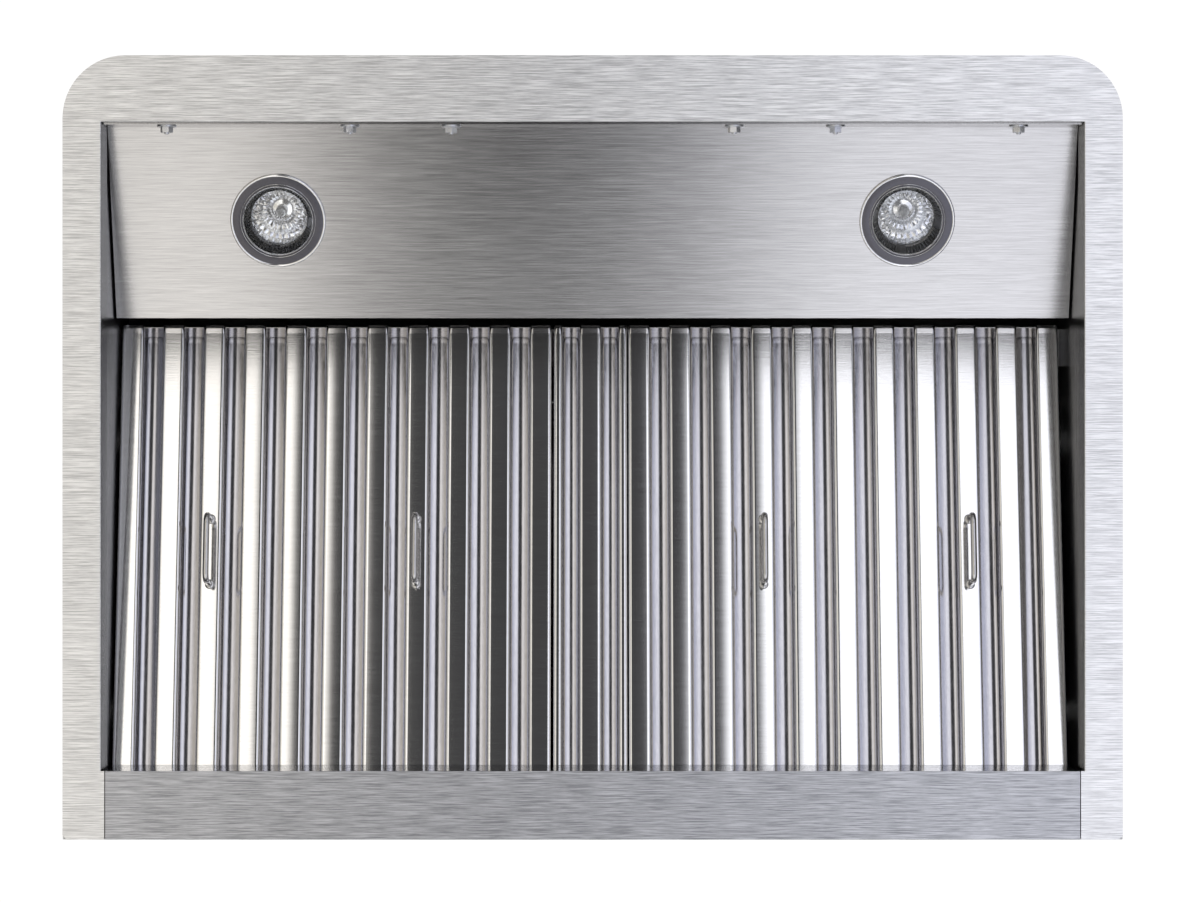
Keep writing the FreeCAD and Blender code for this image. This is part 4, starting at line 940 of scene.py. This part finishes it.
# ---- duct collar and damper ----
def make_collar():
    """Beaded collar with its screws, the damper's seat and pin, and two ribbed flaps."""
    centre = Matrix.Translation((0, COLLAR_Y, TOP_Z))
    tube = [(99.2, 0), (115.6, 0), (116, 0.4), (116, 0.8), (115.6, 1.2), (101.0, 1.2), (100, 2.2), (100, 24),
            (99.0, 25.2), (99.0, 26.8), (100, 28), (100, 39.2), (99.6, 40), (99.2, 40), (98.9, 39.4),
            (98.9, 28), (98.2, 26.8), (98.2, 25.2), (98.9, 24), (98.9, 0)]
    collar = turned(tube, 160)
    seam = block((-1.5 * MM, 98.6 * MM, 2.4 * MM), (1.5 * MM, 99.9 * MM, 23.5 * MM), 0.1 * MM)
    piece("collar_tube", placed(merged(collar, seam), centre), ZINC_SHEET, "duct_collar", crease=28)
    reach = 109 * MM
    spots = []
    for step in range(8):
        angle = math.radians(22.5 + 45 * step)
        spots.append(((reach * math.cos(angle), COLLAR_Y + reach * math.sin(angle), TOP_Z + 1.2 * MM), UP))
    piece("collar_screw_set", fasteners(pan_screw(4.6 * MM, 1.75 * MM), spots, 21), ZINC, "collar_screws")
    dressed("damper_seal", SEAL, 0.15 * MM)
    dressed("damper_pin", SHAFT, 0.2 * MM)
    for name, side in (("front", -1), ("rear", 1)):
        rib = block((-60 * MM, side * 44 * MM, 12.0 * MM), (60 * MM, side * 47 * MM, 13.0 * MM), 0.2 * MM)
        dressed("damper_flap_" + name, ZINC_SHEET, 0.1 * MM, extra=(placed(rib, centre),))


# ---- controls ----
def make_buttons():
    """Dished push buttons, told apart by a small raised sign: rays, a ring, or one to three dots."""
    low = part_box("button_light")[0].y
    face = [(0, 0.55), (3.5, 0.45), (6.0, 0.18), (6.6, 0.0), (7.1, 0.1), (7.5, 0.5), (7.5, 6), (3.5, 6),
            (3.5, 15), (0, 15)]
    for name in ("light", "power", "low", "medium", "high"):
        node = "button_" + name
        near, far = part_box(node)
        place = Matrix.Translation(((near.x + far.x) / 2, low, (near.z + far.z) / 2)) @ across(BACK)
        cap = turned(face, 64)
        piece("push_cap_" + name, placed(cap, place), BUTTON, node, crease=30)
        piece("push_sign_" + name, placed(button_sign(name), place), BLACK, node, hides=False)


def button_sign(name):
    dot = turned([(0, 0.9), (0.75, 0.9), (0.75, 0.4), (0, 0.4)], 20)
    if name == "power":
        parts = [turned([(2.1, 0.3), (2.6, 0.3), (2.6, 0.9), (2.1, 0.9)], 40)]
        parts.append(block((-0.25 * MM, -3.2 * MM, 0.3 * MM), (0.25 * MM, -0.8 * MM, 0.9 * MM)))
        return merged(*parts)
    if name == "light":
        ray = block((2.0 * MM, -0.2 * MM, 0.3 * MM), (3.2 * MM, 0.2 * MM, 0.9 * MM))
        rays = grown(ray, REPEAT, Count=8, Step=(0, 0, 0), Turn=(0, 0, math.tau / 8))
        return merged(rays, placed(dot, Matrix.Scale(1.5, 4, (1, 0, 0)) @ Matrix.Scale(1.5, 4, (0, 1, 0))))
    count = ("low", "medium", "high").index(name) + 1
    first = -1.1 * MM * (count - 1)
    return grown(placed(dot, Matrix.Translation((first, 0, 0))), REPEAT, Count=count, Step=(2.2 * MM, 0, 0),
                 Turn=(0, 0, 0))


# ---- electrics ----
def make_electrics():
    """Switch housing, junction box with its screwed lid, and the cable gland."""
    dressed("switch_housing", BLACK, 0.4 * MM)
    dressed("junction_box", ZINC_SHEET, 0.3 * MM)
    low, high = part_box("junction_cover")
    lid = block(low, high, 0.3 * MM)
    spots = [((low.x + x, low.y + y, low.z + 0.05 * MM), UP) for x in (8 * MM, 92 * MM)
             for y in (8 * MM, 50 * MM)]
    screws = fasteners(dome_rivet(3 * MM, 1.4 * MM), spots)
    piece("junction_lid", merged(lid, screws), ZINC_SHEET, "junction_cover")
    near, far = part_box("cable_gland")
    centre = Matrix.Translation(((near.x + far.x) / 2, (near.y + far.y) / 2, TOP_Z))

    def grips(ring, step, radius, height):
        return (radius - (0.5 * MM if step % 4 < 2 else 0), height) if ring in (6, 7) else (radius, height)
    outline = [(6, -4), (9.5, -4), (9.8, -3.6), (9.8, 0), (13.0, 0), (13.0, 6.2), (12.5, 7.0), (12.5, 14.0),
               (10.5, 17.0), (8.6, 18), (6.6, 18), (6, 17.4)]
    body = turned(outline, 72, grips)
    nut = carved(hex_head(25.5 * MM, 5.8 * MM, 0.94), turned([(0, -1), (12.9, -1), (12.9, 8), (0, 8)], 48))
    piece("cable_gland_body", placed(merged(body, nut), centre), GREY, "cable_gland")


# ---- studio ----
FLOOR_Z = -4.0
CAMERA_DROP = 2.3
TABLE_POWER = 1.6
FAR_GLOW = (0.16, 1.30, 1.80)     # light added at the diffuser's rear, and where that starts and is full
DARK_BAND_Y = -1.168              # a dark band across the diffuser: its middle, and its half width to
DARK_BAND = (0.072, 0.088)        # where its edges start and end
# x on the diffuser and its colour there; the first two entries are its ends
TABLE_SHADES = (
    (-3.0, (0.42, 0.39, 0.34)), (3.0, (0.44, 0.46, 0.56)),
    (-1.5, (0.48, 0.45, 0.39)), (-1.0, (0.62, 0.60, 0.57)), (-0.76, (0.88, 0.855, 0.82)),
    (-0.54, (0.90, 0.87, 0.83)), (-0.50, (0.72, 0.70, 0.67)), (-0.46, (0.30, 0.29, 0.28)),
    (-0.42, (0.060, 0.058, 0.057)), (-0.35, (0.022, 0.022, 0.023)), (0.0, (0.018, 0.018, 0.020)),
    (0.14, (0.022, 0.022, 0.025)), (0.20, (0.10, 0.10, 0.11)), (0.26, (0.52, 0.53, 0.56)),
    (0.31, (0.88, 0.89, 0.94)), (0.80, (0.86, 0.87, 0.93)), (1.05, (0.66, 0.67, 0.74)),
    (1.5, (0.50, 0.52, 0.62)),
)


def lit(name, place, facing, size, power):
    """A soft rectangular lamp that isn't itself seen."""
    lamp = bpy.data.lights.new(name, "AREA")
    lamp.shape = "RECTANGLE"
    lamp.size, lamp.size_y = size
    lamp.energy = power
    made = bpy.data.objects.new(name, lamp)
    made.location = place
    made.rotation_euler = Vector(facing).to_track_quat("-Z", "Y").to_euler()
    made.visible_camera = False
    bpy.context.scene.collection.objects.link(made)


def make_light_table(scene):
    """A long diffuser under the hood: warm on the left, dark in the middle and cool on the right."""
    half, low, high, z = 3.2, -3.4, 5.0, -2.62
    sheet = mesh_of([(-half, low, z), (half, low, z), (half, high, z), (-half, high, z)], [(0, 1, 2, 3)])
    made = Finish("graded_diffuser", Roughness=0.9)
    x = made.node("ShaderNodeSeparateXYZ", {0: made.place}).outputs[0]
    share = made.node("ShaderNodeMapRange", {"Value": x, "From Min": -half, "From Max": half}).outputs[0]
    ramp = made.node("ShaderNodeValToRGB", {0: share})
    ramp.color_ramp.interpolation = "EASE"
    stops = ramp.color_ramp.elements
    for place, colour in TABLE_SHADES[2:]:
        stops.new((place + half) / (2 * half)).color = (*colour, 1)
    for stop, (place, colour) in zip((stops[0], stops[len(stops) - 1]), TABLE_SHADES[:2]):
        stop.position = (place + half) / (2 * half)
        stop.color = (*colour, 1)
    y = made.node("ShaderNodeSeparateXYZ", {0: made.place}).outputs[1]
    lift = made.between(y, 0, *FAR_GLOW)
    glow = made.node("ShaderNodeMix", {0: lift, 6: ramp.outputs[0], 7: (1, 1, 1, 1)}, data_type="RGBA",
                     blend_type="ADD").outputs[2]
    made.shader.inputs["Base Color"].default_value = (0.02, 0.02, 0.02, 1)
    made.tree.links.new(glow, made.shader.inputs["Emission Color"])
    away = made.node("ShaderNodeMath", {0: y, 1: -DARK_BAND_Y}, operation="ADD").outputs[0]
    away = made.node("ShaderNodeMath", {0: away}, operation="ABSOLUTE").outputs[0]
    power = made.between(away, TABLE_POWER * 0.03, TABLE_POWER, *DARK_BAND)
    made.tree.links.new(power, made.shader.inputs["Emission Strength"])
    sheet.materials.append(made.material)
    table = bpy.data.objects.new("light_table", sheet)
    scene.collection.objects.link(table)
    for flag in ("visible_camera", "visible_shadow"):
        setattr(table, flag, False)


def make_studio():
    """A pale room and floor, the diffuser, a soft lamp above and a camera straight below."""
    scene = bpy.context.scene
    scene.view_settings.view_transform = "Standard"
    world = bpy.data.worlds.new("pale_room")
    scene.world = world
    world.use_nodes = True
    nodes, links = world.node_tree.nodes, world.node_tree.links
    height = nodes.new("ShaderNodeSeparateXYZ")
    links.new(nodes.new("ShaderNodeTexCoord").outputs["Generated"], height.inputs[0])
    fade = nodes.new("ShaderNodeMapRange")
    for socket, value in (("From Min", 0.55), ("From Max", 0.93), ("To Min", 0.50), ("To Max", 1.04)):
        fade.inputs[socket].default_value = value
    links.new(height.outputs[2], fade.inputs["Value"])
    links.new(fade.outputs[0], nodes["Background"].inputs["Strength"])
    nodes["Background"].inputs["Color"].default_value = (1, 1, 1, 1)

    floor = mesh_of([(-30, -30, FLOOR_Z), (30, -30, FLOOR_Z), (30, 30, FLOOR_Z), (-30, 30, FLOOR_Z)],
                    [(0, 1, 2, 3)])
    pale = Finish("pale_floor", Roughness=0.7)
    cloud = pale.noise(pale.stretched((0.6, 0.6, 0.6)), detail=3)
    floor.materials.append(pale.wear(pale.tint(cloud, (0.74, 0.74, 0.74), (0.80, 0.80, 0.80)),
                                     pale.between(cloud, 0.62, 0.78)))
    ground = bpy.data.objects.new("floor", floor)
    scene.collection.objects.link(ground)

    make_light_table(scene)
    lit("top_soft_box", (-1.6, -2.2, 3.2), (0.5, 0.62, -1), (2.4, 2.4), 20)

    view = bpy.data.cameras.new("camera")
    view.sensor_width = 36
    view.lens = 97.9
    view.shift_x, view.shift_y = -0.0014, -0.0030
    view.clip_end = 100
    camera = bpy.data.objects.new("camera", view)
    camera.location = (0, 0, -CAMERA_DROP)
    camera.rotation_euler = (math.pi, 0, 0)
    scene.collection.objects.link(camera)
    scene.camera = camera


make_studio()
make_sheets()
make_canopy_fixings()
for lamp_name, lamp_side in (("left", -1), ("right", 1)):
    make_lamp(lamp_name, lamp_side)
make_lamp_fittings()
make_lip_fasteners()
make_filter("left", LEFT_X)
make_filter("right", RIGHT_X)
make_spacer()
dressed("filter_catches", ZINC, 0.08 * MM)
make_wheel()
make_blower_case()
make_motor()
make_collar()
make_buttons()
make_electrics()

bpy.context.view_layer.update()
